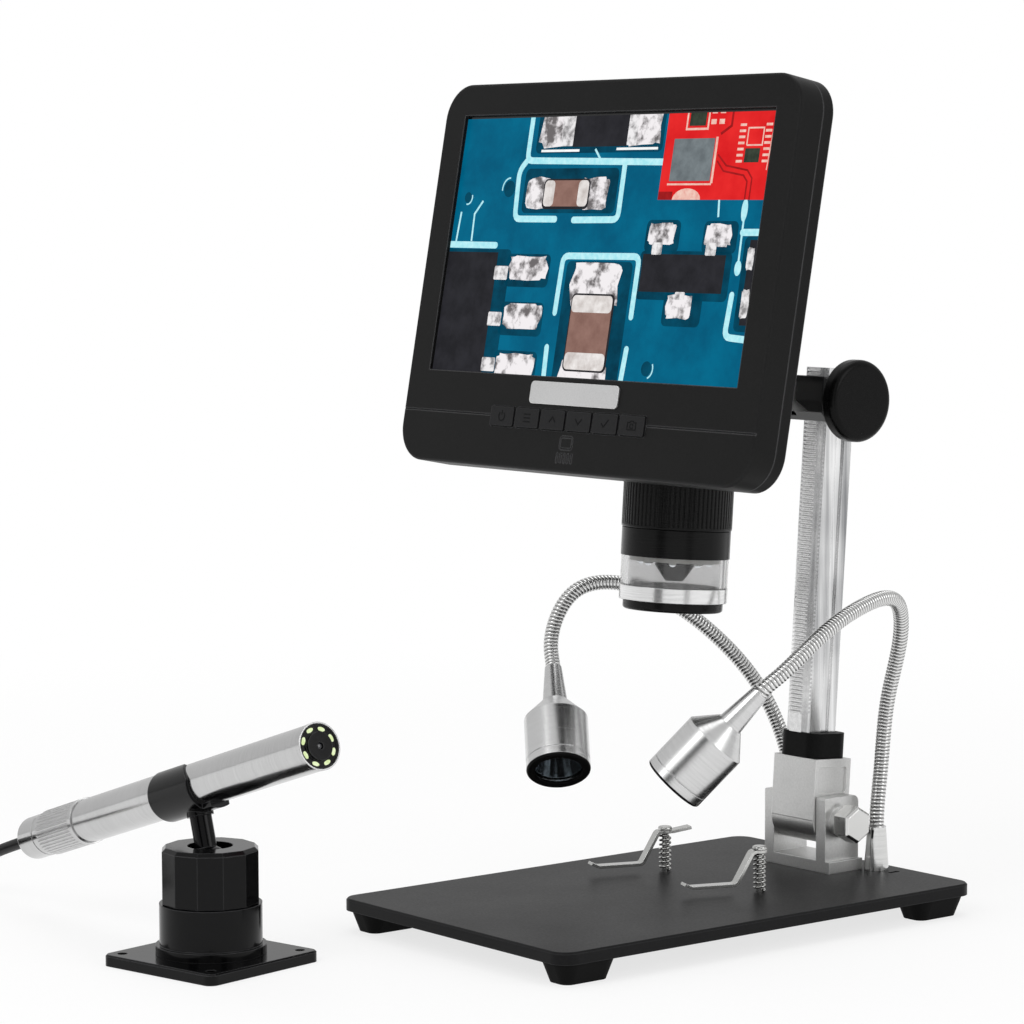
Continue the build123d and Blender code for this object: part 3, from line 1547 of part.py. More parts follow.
scope_face = scope_tube_front + scope_flange - scope_face_depth
with BuildPart() as scope_front:
    with BuildSketch(scope_plane(scope_tube_front - scope_spigot)):
        Circle(scope_bore - seat_gap)
    extrude(amount=scope_spigot)
    with BuildSketch(scope_plane(scope_tube_front)):
        Circle(scope_radius)
    extrude(amount=scope_flange)
    with BuildSketch(scope_plane(scope_face)):
        Circle(scope_face_radius)
    extrude(amount=scope_face_depth, mode=Mode.SUBTRACT)
    with BuildSketch(scope_plane(scope_face - scope_window_depth)):
        with PolarLocations(scope_window_circle, scope_window_count, scope_window_turn):
            SlotOverall(scope_window_length, scope_window_width, rotation=90)
    extrude(amount=scope_window_depth, mode=Mode.SUBTRACT)
    with BuildSketch(scope_plane(scope_face)):
        Circle(scope_hub_radius)
        Circle(scope_pinhole, mode=Mode.SUBTRACT)
    extrude(amount=scope_hub_height)
scope_front.part.label = "scope_front"
export_step(scope_front.part, "parts/scope_front.step")

with BuildPart() as scope_cap:
    with BuildSketch(scope_plane(scope_cap_end)):
        Circle(scope_cap_radius)
    extrude(amount=scope_groove_rear - scope_cap_end)
    fillet(scope_cap.edges().sort_by(Axis.X)[0], scope_cap_edge)
    with BuildSketch(scope_plane(scope_groove_rear)):
        Circle(scope_groove_radius)
    extrude(amount=scope_groove_front - scope_groove_rear)
    with BuildSketch(scope_plane(scope_groove_front)):
        Circle(scope_cap_radius)
    extrude(amount=collar_rear - scope_groove_front)
    with BuildSketch(scope_plane(collar_rear)):
        Circle(collar_radius)
        with PolarLocations(collar_radius, scope_knurls):
            Circle(scope_knurl_radius, mode=Mode.SUBTRACT)
    extrude(amount=collar_ring_rear - collar_rear)
    with BuildSketch(scope_plane(collar_ring_rear)):
        Circle(collar_ring_radius)
    extrude(amount=scope_tube_rear - collar_ring_rear)
    with BuildSketch(scope_plane(scope_tube_rear)):
        Circle(scope_bore - seat_gap)
    extrude(amount=scope_spigot)
scope_cap.part.label = "scope_cap"
export_step(scope_cap.part, "parts/scope_cap.step")

# --------------------------------------------------------------------- cord
cord_exit = Vector(*scope_frame.from_local_coords((scope_offset, 0, scope_cap_end - face_gap)))
route = [cord_exit] + [Vector(*point) for point in cord_route]
runs = [b - a for a, b in zip(route, route[1:])]
bend_radii = []
for before, after in zip(runs, runs[1:]):
    half_turn = radians(before.get_angle(after)) / 2
    bend_radii.append(0.45 * min(before.length, after.length) / tan(half_turn))
print("cord bend radii", [round(radius, 1) for radius in bend_radii])

with BuildPart() as cord_tube:
    with BuildLine():
        cord_path = FilletPolyline(*route, radius=bend_radii)
    with BuildSketch(Plane(origin=cord_exit, z_dir=runs[0])):
        Circle(cord_radius)
    sweep(path=cord_path)
cord_tube.part.label = "cord_tube"
export_step(cord_tube.part, "parts/cord_tube.step")
print("cord tube volume ratio", cord_tube.part.volume / (pi * cord_radius**2 * cord_path.length))

with BuildPart() as cord_coil:
    with BuildSketch(Plane.XZ.offset(-coil_y)):
        with Locations((coil_x + coil_radius, coil_height / 2)):
            RectangleRounded(coil_width, coil_height, coil_corner)
    revolve(axis=Axis((coil_x, coil_y, 0), (0, 0, 1)))
cord_coil.part.label = "cord_coil"
export_step(cord_coil.part, "parts/cord_coil.step")

plug_out = Vector(cos(radians(plug_angle)), sin(radians(plug_angle)), 0)
plug_dir = Vector(-plug_out.Y, plug_out.X, 0)
plug_start = Vector(coil_x, coil_y, plug_body_height / 2) + plug_out * plug_lateral
plug_plane = Plane(origin=plug_start, x_dir=plug_out, z_dir=plug_dir)
plug_body_start = plug_relief_start + plug_relief_length
with BuildPart() as usb_plug:
    with BuildSketch(plug_plane.offset(plug_relief_start)):
        Circle(plug_relief_radius)
    extrude(amount=plug_relief_length)
    with BuildSketch(plug_plane.offset(plug_body_start)):
        RectangleRounded(plug_body_width, plug_body_height, plug_body_corner)
    extrude(amount=plug_body_length)
    with BuildSketch(plug_plane.offset(plug_body_start + plug_body_length)):
        Rectangle(plug_shell_width, plug_shell_height)
    extrude(amount=plug_shell_length)
usb_plug.part.label = "usb_plug"
export_step(usb_plug.part, "parts/usb_plug.step")
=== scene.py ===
"""Looks of a digital microscope with a 7-inch screen and a separate tube camera.

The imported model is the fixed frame. This script gives every part of it a
finish, and adds what the construction leaves out: the picture on the screen,
the wound hoses of the lamps, the reflectors, the lit chips, the cord in its
coil, the plug, and the marks on the keys.

Lengths are millimetres unless it says otherwise. The shared frame is in metres,
+Z up, with its origin on the table under the middle of the base plate.
"""

import logging
import math
import random
from collections.abc import Callable
from dataclasses import dataclass
from enum import Enum

import bpy
import numpy as np
from mathutils import Matrix, Vector


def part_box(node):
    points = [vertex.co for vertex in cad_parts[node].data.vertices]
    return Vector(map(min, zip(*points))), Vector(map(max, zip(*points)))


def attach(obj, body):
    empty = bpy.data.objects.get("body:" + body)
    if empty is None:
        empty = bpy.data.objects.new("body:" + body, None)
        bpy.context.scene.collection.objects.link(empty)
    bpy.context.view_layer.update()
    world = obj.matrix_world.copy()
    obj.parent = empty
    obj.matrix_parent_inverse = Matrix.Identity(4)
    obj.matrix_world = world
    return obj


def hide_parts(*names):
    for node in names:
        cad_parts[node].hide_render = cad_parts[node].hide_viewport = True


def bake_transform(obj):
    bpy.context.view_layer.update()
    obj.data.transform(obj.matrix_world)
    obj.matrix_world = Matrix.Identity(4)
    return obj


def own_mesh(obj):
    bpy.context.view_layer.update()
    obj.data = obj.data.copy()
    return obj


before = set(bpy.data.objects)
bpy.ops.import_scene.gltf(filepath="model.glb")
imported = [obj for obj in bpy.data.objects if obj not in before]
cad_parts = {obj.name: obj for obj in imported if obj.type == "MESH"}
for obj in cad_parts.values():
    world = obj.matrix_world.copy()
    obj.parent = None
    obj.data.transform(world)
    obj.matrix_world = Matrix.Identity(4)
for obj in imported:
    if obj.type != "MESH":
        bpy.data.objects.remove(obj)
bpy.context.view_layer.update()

log = logging.getLogger("microscope")
MM = 0.001  # metres in a millimetre

Pair = tuple[float, float]
Triple = tuple[float, float, float]
Quad = tuple[float, float, float, float]
Rows = tuple[tuple[float, ...], ...]
Outline = list[Pair] | tuple[Pair, ...]
Faces = list[tuple[int, ...]]
Mesh = tuple[list[Vector], Faces]
Reach = float | Callable[[int, float], float]


# ------------------------------------------------------------------ helpers
def linear(hex_colour: str) -> Quad:
    """Turn an sRGB hex colour into linear light.

    Args:
        hex_colour: Six hex digits after a hash sign.

    Returns:
        Linear red, green and blue, and an alpha of 1.
    """
    channels = [int(hex_colour[i : i + 2], 16) / 255 for i in (1, 3, 5)]
    light = [c / 12.92 if c <= 0.04045 else ((c + 0.055) / 1.055) ** 2.4 for c in channels]
    return (light[0], light[1], light[2], 1.0)


def wire(
    tree: bpy.types.NodeTree, node: bpy.types.Node, settings: dict | None = None, links: dict | None = None
) -> bpy.types.Node:
    """Set a node's values and link its inputs.

    Args:
        tree: The node tree that holds the node.
        node: The node.
        settings: Values by socket name or number, or by attribute name.
        links: For each socket name or number, the node and output that feed it.

    Returns:
        The same node.
    """
    for key, value in (settings or {}).items():
        if isinstance(key, str) and hasattr(node, key):
            setattr(node, key, value)
        else:
            node.inputs[key].default_value = value
    for key, (source, output) in (links or {}).items():
        tree.links.new(source.outputs[output], node.inputs[key])
    return node


def add_node(
    tree: bpy.types.NodeTree, kind: str, settings: dict | None = None, links: dict | None = None
) -> bpy.types.Node:
    """Add a node of one kind to a tree, with settings and links as wire takes them."""
    return wire(tree, tree.nodes.new(kind), settings, links)


def add_object(name: str, data: bpy.types.ID) -> bpy.types.Object:
    """Put data into the scene as an object.

    Args:
        name: The object's name.
        data: Its camera, light, curve or mesh.

    Returns:
        The new object.
    """
    thing = bpy.data.objects.new(name, data)
    bpy.context.scene.collection.objects.link(thing)
    return thing


def make_mesh(name: str, points: list[Vector], faces: Faces) -> bpy.types.Mesh:
    """Make a mesh.

    Args:
        name: Its name.
        points: Its points, in metres.
        faces: Its faces, each the numbers of its points.

    Returns:
        The new mesh.
    """
    mesh = bpy.data.meshes.new(name)
    mesh.from_pydata(points, [], faces)
    return mesh


def grains_per_metre(size: float) -> float:
    """Scale of a noise pattern whose grains are this many millimetres apart."""
    return 1 / (size * MM)


@dataclass(frozen=True)
class Place:
    """A frame of its own within the shared one, with its origin in metres."""

    origin: Vector
    x: Vector
    y: Vector
    z: Vector

    @classmethod
    def facing(cls, origin: Vector, forward: Vector, side: Vector) -> "Place":
        """Make a frame whose z runs forward and whose x is nearest to side.

        Args:
            origin: Its origin, in metres.
            forward: Direction of its z axis.
            side: Direction that its x axis leans to.

        Returns:
            The frame.
        """
        z = forward.normalized()
        x = (side - z * side.dot(z)).normalized()
        return cls(origin, x, z.cross(x), z)

    def at(self, x: float, y: float, z: float) -> Vector:
        """Point of the shared frame at x, y and z millimetres of this one."""
        return self.origin + (self.x * x + self.y * y + self.z * z) * MM

    def ring(self, outline: Outline, z: float) -> list[Vector]:
        """Points of the shared frame along an outline at height z of this one."""
        return [self.at(x, y, z) for x, y in outline]


def flat_normal(node: str) -> Vector:
    """Direction that the largest flat face of a part looks in.

    Args:
        node: Name of a part whose largest faces are parallel and flat.

    Returns:
        A unit normal of that face, one of its two directions.
    """
    areas: dict[tuple[float, ...], float] = {}
    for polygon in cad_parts[node].data.polygons:
        key = tuple(round(c, 3) for c in polygon.normal)
        areas[key] = areas.get(key, 0.0) + polygon.area
    return Vector(max(areas, key=areas.get)).normalized()


# ----------------------------------------------------------------- finishes
class Grain(Enum):
    """The way that the marks of a finish run."""

    EVEN = "even"
    ALONG = "along"
    AROUND = "around"


@dataclass(frozen=True)
class Finish:
    """A surface of one real material, made by one process."""

    name: str
    colour: str
    roughness: float

    def material(self) -> bpy.types.Material:
        """Find the finish as a material, or make it the first time.

        Returns:
            The material.
        """
        found = bpy.data.materials.get(self.name)
        if found:
            return found
        made = bpy.data.materials.new(self.name)
        made.use_nodes = True
        shader = made.node_tree.nodes["Principled BSDF"]
        wire(made.node_tree, shader, {"Base Color": linear(self.colour), "Roughness": self.roughness})
        self.shade(made.node_tree, shader)
        return made

    def shade(self, tree: bpy.types.NodeTree, shader: bpy.types.Node) -> None:
        """Add what this kind of finish has beyond its colour and roughness."""


@dataclass(frozen=True)
class Grained(Finish):
    """A finish whose fine marks change its colour, gloss and height.

    Attributes:
        second: Colour that the marks mix in.
        rougher: Roughness where the marks are strongest.
        metallic: 1 for bare metal, 0 for paint, plastic and rubber.
        grain: Distance between marks, in millimetres.
        patch: Distance between the broad patches that the marks lie on, in millimetres.
        relief: Height of the marks, in millimetres.
        run: The way that the marks run.
        axis: Direction of the marks' axis where they run along or around one.
        edge: Radius that a sharp edge is seen with, in millimetres.
        edge_wear_and_highlight: Share of the lighter edge colour, which paints rubbing and a highlight.
        edge_wear_and_highlight_colour: Colour of that lighter edge.
        coat: Strength of a clear coat over the finish.
        specular: Strength of the shine of a finish that isn't metal.
    """

    second: str = "#808080"
    rougher: float = 0.5
    metallic: float = 0.0
    grain: float = 1.0
    patch: float = 25.0
    relief: float = 0.01
    run: Grain = Grain.EVEN
    axis: Triple = (0.0, 0.0, 1.0)
    edge: float = 0.25
    edge_wear_and_highlight: float = 0.0
    edge_wear_and_highlight_colour: str = "#9a9a9a"
    coat: float = 0.0
    specular: float = 0.5

    def shade(self, tree: bpy.types.NodeTree, shader: bpy.types.Node) -> None:
        """Mix the colours, spread the roughness, round the edges and raise the marks.

        Args:
            tree: The material's node tree.
            shader: Its surface shader.
        """
        slow = 1 / 40  # how much slower the pattern changes along a mark than across it
        stretch = {Grain.EVEN: (1, 1, 1), Grain.ALONG: (1, 1, slow), Grain.AROUND: (slow, slow, 1)}
        turn = Vector(self.axis).rotation_difference(Vector((0, 0, 1))).to_euler()
        place = add_node(tree, "ShaderNodeTexCoord")
        turned = add_node(tree, "ShaderNodeMapping", {"Rotation": turn}, {"Vector": (place, "Object")})
        scaled = {"Scale": stretch[self.run]}
        drawn = add_node(tree, "ShaderNodeMapping", scaled, {"Vector": (turned, "Vector")})
        fine = {"Scale": grains_per_metre(self.grain), "Detail": 3.0, "Roughness": 0.6}
        marks = add_node(tree, "ShaderNodeTexNoise", fine, {"Vector": (drawn, "Vector")})
        broad = {"Scale": grains_per_metre(self.patch), "Detail": 2.0}
        patches = add_node(tree, "ShaderNodeTexNoise", broad, {"Vector": (place, "Object")})
        half = {"operation": "MULTIPLY_ADD", 1: 0.5}
        both = add_node(tree, "ShaderNodeMath", half, {0: (patches, "Fac"), 2: (marks, "Fac")})
        upper = {"From Min": 0.5, "From Max": 1.0}
        spread = add_node(tree, "ShaderNodeMapRange", upper, {"Value": (both, "Value")})
        tones = {"data_type": "RGBA", 6: linear(self.colour), 7: linear(self.second)}
        tone = add_node(tree, "ShaderNodeMix", tones, {0: (spread, "Result")})
        rounded = add_node(tree, "ShaderNodeBevel", {"samples": 4, "Radius": self.edge * MM})
        # Edges lie where the rounded normal turns from the face's own. The lighter colour mixed in there is
        # partly rubbing and partly painted highlight where edges catch the light.
        if self.edge_wear_and_highlight:
            shape = add_node(tree, "ShaderNodeNewGeometry")
            bend = {0: (rounded, "Normal"), 1: (shape, "Normal")}
            flat = add_node(tree, "ShaderNodeVectorMath", {"operation": "DOT_PRODUCT"}, bend)
            edges = {"From Min": 0.995, "From Max": 0.93, "To Max": self.edge_wear_and_highlight}  # cosines of the bend
            edge_wear_and_highlight_mask = add_node(tree, "ShaderNodeMapRange", edges, {"Value": (flat, "Value")})
            bare = {"data_type": "RGBA", 7: linear(self.edge_wear_and_highlight_colour)}
            tone = add_node(tree, "ShaderNodeMix", bare, {0: (edge_wear_and_highlight_mask, "Result"), 6: (tone, 2)})
        between = {**upper, "To Min": self.roughness, "To Max": self.rougher}
        gloss = add_node(tree, "ShaderNodeMapRange", between, {"Value": (both, "Value")})
        height = {"Strength": 1.0, "Distance": self.relief * MM}
        on_edges = {"Height": (marks, "Fac"), "Normal": (rounded, "Normal")}
        raised = add_node(tree, "ShaderNodeBump", height, on_edges)
        own = {"Metallic": self.metallic, "Specular IOR Level": self.specular}
        own |= {"Coat Weight": self.coat, "Coat Roughness": 0.08}
        fed = {"Base Color": (tone, 2), "Roughness": (gloss, "Result"), "Normal": (raised, "Normal")}
        wire(tree, shader, own, fed)


@dataclass(frozen=True)
class Metal(Grained):
    """Bare or plated metal."""

    metallic: float = 1.0


@dataclass(frozen=True)
class Clear(Finish):
    """Clear moulded plastic or ground glass.

    Attributes:
        ior: Index of refraction.
        clarity: Share of the light that goes through, 1 for clear.
        flow: Distance between the faint waves of its surface, in millimetres.
        relief: Height of those waves, in millimetres.
    """

    ior: float = 1.49
    clarity: float = 1.0
    flow: float = 6.0
    relief: float = 0.02

    def shade(self, tree: bpy.types.NodeTree, shader: bpy.types.Node) -> None:
        """Let light through and leave faint waves in the surface.

        Args:
            tree: The material's node tree.
            shader: Its surface shader.
        """
        place = add_node(tree, "ShaderNodeTexCoord")
        slow = {"Scale": grains_per_metre(self.flow), "Detail": 1.0}
        waves = add_node(tree, "ShaderNodeTexNoise", slow, {"Vector": (place, "Object")})
        height = {"Strength": 0.5, "Distance": self.relief * MM}
        raised = add_node(tree, "ShaderNodeBump", height, {"Height": (waves, "Fac")})
        own = {"IOR": self.ior, "Transmission Weight": self.clarity}
        wire(tree, shader, own, {"Normal": (raised, "Normal")})


@dataclass(frozen=True)
class Lit(Finish):
    """A surface that gives its own light, as a lit panel or a chip does.

    Attributes:
        second: Colour that the mottling mixes in.
        grain: Distance between the mottles, in millimetres.
        blur: How softly the two colours meet, from 0 to 0.5.
        middle: Height of the noise at which they meet; lower gives more of the second.
        strength: Brightness, where 1 shows the colour as it is written.
    """

    second: str = "#808080"
    grain: float = 3.0
    blur: float = 0.15
    middle: float = 0.5
    strength: float = 1.0

    def shade(self, tree: bpy.types.NodeTree, shader: bpy.types.Node) -> None:
        """Glow in two colours that a soft noise mottles, under a dark gloss.

        Args:
            tree: The material's node tree.
            shader: Its surface shader.
        """
        place = add_node(tree, "ShaderNodeTexCoord")
        fine = {"Scale": grains_per_metre(self.grain), "Detail": 5.0, "Roughness": 0.6}
        cloud = add_node(tree, "ShaderNodeTexNoise", fine, {"Vector": (place, "Object")})
        soft = {"From Min": self.middle - self.blur, "From Max": self.middle + self.blur}
        spread = add_node(tree, "ShaderNodeMapRange", soft, {"Value": (cloud, "Fac")})
        tones = {"data_type": "RGBA", 6: linear(self.colour), 7: linear(self.second)}
        tone = add_node(tree, "ShaderNodeMix", tones, {0: (spread, "Result")})
        own = {"Base Color": linear("#000000"), "Specular IOR Level": 0.02}
        own |= {"Emission Strength": self.strength}
        wire(tree, shader, own, {"Emission Color": (tone, 2)})


@dataclass(frozen=True)
class Wound(Finish):
    """A hose wound from steel wire, with painted shade darkening its grooves.

    Attributes:
        groove: Colour painted into the bottom of the grooves as shade.
        groove_roughness: Roughness at the bottom of the grooves.
        attribute: Name of the mesh's measure of how deep a point lies.
    """

    groove: str = "#141414"
    groove_roughness: float = 0.7
    attribute: str = "groove"

    def shade(self, tree: bpy.types.NodeTree, shader: bpy.types.Node) -> None:
        """Paint shade into the grooves and dull them, and leave the crowns of the wire bright.

        Args:
            tree: The material's node tree.
            shader: Its surface shader.
        """
        # The deeper a point lies, the more of the dark groove colour is mixed in: painted shade.
        depth = add_node(tree, "ShaderNodeAttribute", {"attribute_name": self.attribute})
        tones = {"data_type": "RGBA", 6: linear(self.colour), 7: linear(self.groove)}
        tone = add_node(tree, "ShaderNodeMix", tones, {0: (depth, "Fac")})
        between = {"To Min": self.roughness, "To Max": self.groove_roughness}
        dull = add_node(tree, "ShaderNodeMapRange", between, {"Value": (depth, "Fac")})
        wire(tree, shader, {"Metallic": 1.0}, {"Base Color": (tone, 2), "Roughness": (dull, "Result")})


SCOPE_AXIS = flat_normal("scope_front")
LAMP_AXES = {side: flat_normal(f"{side}_lamp_lens") for side in ("left", "right")}

# Marks are as far apart as the real ones. Where those are finer than about
# 0.35 mm they are drawn that coarse or coarser, as coarse as they need to show.
# A lighter colour on the edges of the finishes below is painted highlight where edges catch the light; on
# paint and plastic it also stands for rubbing.

# Powder coat on steel: a dark, slightly open skin that shines at a low angle,
# with edges painted lighter as rubbing and as highlight.
POWDER_COAT = Grained(
    "powder_coated_steel", "#101011", 0.36, second="#171718", rougher=0.44,
    grain=0.9, relief=0.012, edge=0.5, edge_wear_and_highlight=0.25, edge_wear_and_highlight_colour="#565658", specular=0.12,
)
# Moulded rubber: near black, dry, with a soft grain.
RUBBER = Grained(
    "moulded_rubber", "#0b0b0b", 0.6, second="#121212", rougher=0.75,
    grain=0.8, relief=0.03, specular=0.08,
)
# Zinc plated screws: grey metal with a faint yellow passivation.
ZINC = Metal(
    "zinc_plated_steel", "#b8b8b0", 0.3, second="#9c9a88", rougher=0.42, grain=0.7, relief=0.005,
)
# Bead-blasted aluminium: satin grey that shows no reflection, only soft light.
# The bead marks are drawn at 0.7 mm, coarser than the real 0.1 mm, to show.
BLASTED_ALUMINIUM = Metal(
    "bead_blasted_aluminium", "#dadad9", 0.36, second="#cdcdcc", rougher=0.42,
    grain=0.7, relief=0.005, edge=0.4, edge_wear_and_highlight=0.6, edge_wear_and_highlight_colour="#fafafa",
)
# Nickel plate on the clamp bolt: a mirror with faint rings about the bolt's axis.
BRIGHT_PLATE = Metal(
    "nickel_plated_steel", "#d9d9d8", 0.1, second="#cbcbc9", rougher=0.16,
    grain=0.8, relief=0.002, run=Grain.AROUND, axis=(1.0, 0.0, 0.0), edge=0.4, edge_wear_and_highlight=0.5, edge_wear_and_highlight_colour="#f2f2f2",
)
# Chrome plate on the lamps' turned brass sockets: a mirror with faint lathe rings.
TURNED_CHROME = Metal(
    "chrome_plated_brass", "#dadad9", 0.08, second="#cfcfce", rougher=0.13,
    grain=0.6, relief=0.002, run=Grain.AROUND, edge=0.3, edge_wear_and_highlight=0.4, edge_wear_and_highlight_colour="#f6f6f6",
)
# Extruded and polished aluminium: lines from the die run up the column. They are
# drawn as grey bands 3.2 mm wide, broader than the real ones, to show. Their dark grey
# is also painted reflection, the stripes that a polished column mirrors.
EXTRUDED_ALUMINIUM = Metal(
    "polished_extruded_aluminium", "#f4f4f4", 0.12, second="#8c8d8f", rougher=0.2,
    grain=3.2, relief=0.004, run=Grain.ALONG, edge=0.3, edge_wear_and_highlight=0.5, edge_wear_and_highlight_colour="#ffffff",
)
# Milled steel: the cutter leaves the rack's teeth bright, with dark gaps between.
MILLED_STEEL = Metal(
    "milled_steel", "#e8e8e8", 0.2, second="#d2d2d2", rougher=0.27,
    grain=1.2, relief=0.001, edge=0.08,
)
# Spring steel, bright drawn: a hard shine along the strip.
SPRING_STEEL = Metal(
    "bright_spring_steel", "#c9c9c7", 0.14, second="#b6b6b4", rougher=0.22,
    grain=0.6, relief=0.002, edge=0.2, edge_wear_and_highlight=0.4, edge_wear_and_highlight_colour="#f4f4f4",
)
# Turned and polished aluminium lamp heads: faint rings from the lathe under a shine.
TURNED_LAMP = {
    side: Metal(
        f"turned_aluminium_{side}", "#d9d9d9", 0.22, second="#cccccc", rougher=0.28,
        grain=0.35, relief=0.0015, run=Grain.AROUND, axis=tuple(axis), edge=0.3, edge_wear_and_highlight=0.4, edge_wear_and_highlight_colour="#f8f8f8",
    )
    for side, axis in LAMP_AXES.items()
}
# Turned, satin anodised aluminium tube: bright, with fine rings around it.
TURNED_TUBE = Metal(
    "anodised_aluminium_tube", "#cbcbcb", 0.14, second="#bebebe", rougher=0.2,
    grain=0.35, relief=0.0015, run=Grain.AROUND, axis=tuple(SCOPE_AXIS), edge=0.3, edge_wear_and_highlight=0.3, edge_wear_and_highlight_colour="#f0f0f0",
)
# Polished aluminium band round the shade's foot.
POLISHED_BAND = Metal(
    "polished_aluminium_band", "#ececec", 0.16, second="#dcdcdc", rougher=0.24,
    grain=0.4, relief=0.0015, run=Grain.AROUND, edge=0.2,
)
# Nameplate: satin rolled aluminium, left bare.
ROLLED_ALUMINIUM = Metal(
    "rolled_satin_aluminium", "#dcdcdc", 0.42, second="#d0d0d0", rougher=0.5,
    grain=0.5, relief=0.002, edge=0.4, edge_wear_and_highlight=0.4, edge_wear_and_highlight_colour="#ffffff",
)
# Moulded ABS with a fine spark-eroded grain: black that reads as dark grey.
TEXTURED_ABS = Grained(
    "textured_abs", "#151515", 0.4, second="#1b1b1b", rougher=0.48, grain=0.8, relief=0.006,
    edge=0.6, edge_wear_and_highlight=0.45, edge_wear_and_highlight_colour="#7c7c7e", specular=0.1,
)
# Keys: a greyer plastic, smoother where fingers polish it.
KEY_ABS = Grained(
    "polished_key_abs", "#1c1c1d", 0.36, second="#222223", rougher=0.44, grain=0.9, relief=0.004,
    edge=0.4, edge_wear_and_highlight=0.25, edge_wear_and_highlight_colour="#5c5c5e", specular=0.12,
)
# Glass-filled nylon of the collar and the lamps' bezels: flat black with a dry skin.
FILLED_NYLON = Grained(
    "glass_filled_nylon", "#0b0b0b", 0.42, second="#171717", rougher=0.52,
    grain=0.7, relief=0.01, edge=0.6, specular=0.08,
)
# Gloss black lacquer on the slider.
BLACK_LACQUER = Grained(
    "black_lacquer", "#0b0b0c", 0.16, second="#0f0f10", rougher=0.22, grain=1.4, relief=0.004,
    edge=0.5, edge_wear_and_highlight=0.2, edge_wear_and_highlight_colour="#55555a", specular=0.4,
)
# Phenolic knobs, turned and polished: deep black with a wide soft shine.
PHENOLIC = Grained(
    "polished_phenolic", "#0a0a0a", 0.2, second="#101010", rougher=0.27,
    grain=1.2, relief=0.004, edge=0.6, specular=0.1,
)
# Black anodised lens barrel: satin, with fine turning rings.
BLACK_ANODISED = Grained(
    "black_anodised_aluminium", "#0c0c0c", 0.2, second="#111111", rougher=0.28, metallic=0.1,
    grain=0.5, relief=0.004, run=Grain.AROUND, edge=0.25, edge_wear_and_highlight=0.3, edge_wear_and_highlight_colour="#505050", specular=0.16,
)
# Gloss ABS of the tube camera's stand and clip.
GLOSS_ABS = Grained(
    "gloss_abs", "#060607", 0.1, second="#0a0a0b", rougher=0.16, grain=2.0, relief=0.004,
    edge=0.5, edge_wear_and_highlight=0.35, edge_wear_and_highlight_colour="#6a6a6c", specular=0.16,
)
# Nylon ball seat: milky and waxy.
NYLON = Grained("moulded_nylon", "#cfcdc4", 0.4, second="#bdbbb0", rougher=0.5, grain=1.5, relief=0.01)
# Solder mask printed on glass-epoxy boards: green on the main ones, white under the chips.
GREEN_BOARD = Grained(
    "green_solder_mask", "#0f5a34", 0.3, second="#0a4527", rougher=0.4, grain=1.2, relief=0.02,
)
WHITE_BOARD = Grained(
    "white_solder_mask", "#e8e8e4", 0.35, second="#d8d8d2", rougher=0.45, grain=1.2, relief=0.01,
)
# Blue shrink film round the battery, glossy and slightly creased.
SHRINK_FILM = Grained("shrink_film", "#1c3f7a", 0.2, second="#183466", rougher=0.3, grain=4.0, relief=0.05)
# Cast acrylic shade, clear with a faint haze; coated, ground objective glass; pressed lamp glass.
HAZY_PMMA = Clear("hazy_pmma", "#d8d8d8", 0.08, clarity=0.97)
COATED_GLASS = Clear("coated_glass", "#b9c6d8", 0.02, ior=1.52)
LAMP_GLASS = Clear("lamp_glass", "#dfe6ea", 0.02, ior=1.5)
# Polished glass over the dark lens of the tube camera.
LENS_BLACK = Grained(
    "dark_lens_glass", "#0c0d12", 0.04, second="#14161e", rougher=0.08, grain=2.0, relief=0.001, coat=1.0,
)
# Vapour-coated reflector: a thin mirror on moulded facets.
MIRROR_COAT = Metal(
    "vapour_coated_reflector", "#c9ccce", 0.1, second="#aeb2b6", rougher=0.2, grain=1.0, relief=0.01,
)
# PVC cord and plug, black and slightly soft to the eye.
PVC = Grained(
    "extruded_pvc", "#0b0b0c", 0.36, second="#111112", rougher=0.44,
    grain=1.2, relief=0.006, specular=0.16,
)
PLUG_PVC = Grained(
    "moulded_pvc", "#101011", 0.42, second="#161617", rougher=0.5,
    grain=0.8, relief=0.01, specular=0.3,
)
# Hook-and-loop tie: a dull black pile.
PILE = Grained(
    "hook_and_loop_pile", "#0c0c0c", 0.8, second="#1e1e1e", rougher=0.95,
    grain=0.6, relief=0.15, specular=0.1,
)
# Nickel-plated plug shell, pressed from sheet, with its gold-flashed contacts.
NICKEL = Metal("nickel_shell", "#cfcfcb", 0.16, second="#c2c2bd", rougher=0.24, relief=0.002)
GOLD = Metal("gold_flash", "#d8b25a", 0.2, second="#c49c45", rougher=0.3, relief=0.002)
# Pad-printed marks on the keys, black on dark grey.
KEY_INK = Grained(
    "pad_printed_ink", "#0b0b0c", 0.5, second="#101011", rougher=0.6,
    grain=0.7, relief=0.003, specular=0.1,
)
# Steel hose of the lamps, wound from round wire: bright crowns, with painted shade darkening the grooves.
HOSE_STEEL = Wound("wound_steel_hose", "#ececeb", 0.12, groove="#0a0a0a")
# Cast phosphor of the lamps' chips, which are off: matt yellow.
PHOSPHOR = Grained("chip_phosphor", "#c9b84e", 0.4, second="#b7a43c")
# Cast resin of the chips that are on, warm in the tube camera and white in the shade.
LIT_CHIP = Lit("lit_chip", "#f4ffd8", 0.3, second="#d4e8a0", grain=1.0)
RING_CHIP = Lit("ring_chip", "#fbfdff", 0.3, second="#e8f0f6", grain=1.0, strength=0.9)


def dress(finish: Finish, *nodes: str) -> None:
    """Give parts of the frame their finish.

    Args:
        finish: What their surface is.
        nodes: Names of the parts.
    """
    for name in nodes:
        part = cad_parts[name]
        if not part.material_slots:
            part.data.materials.append(None)
        for place in part.material_slots:
            place.material = finish.material()
        log.info("%s: %s", name, finish.name)


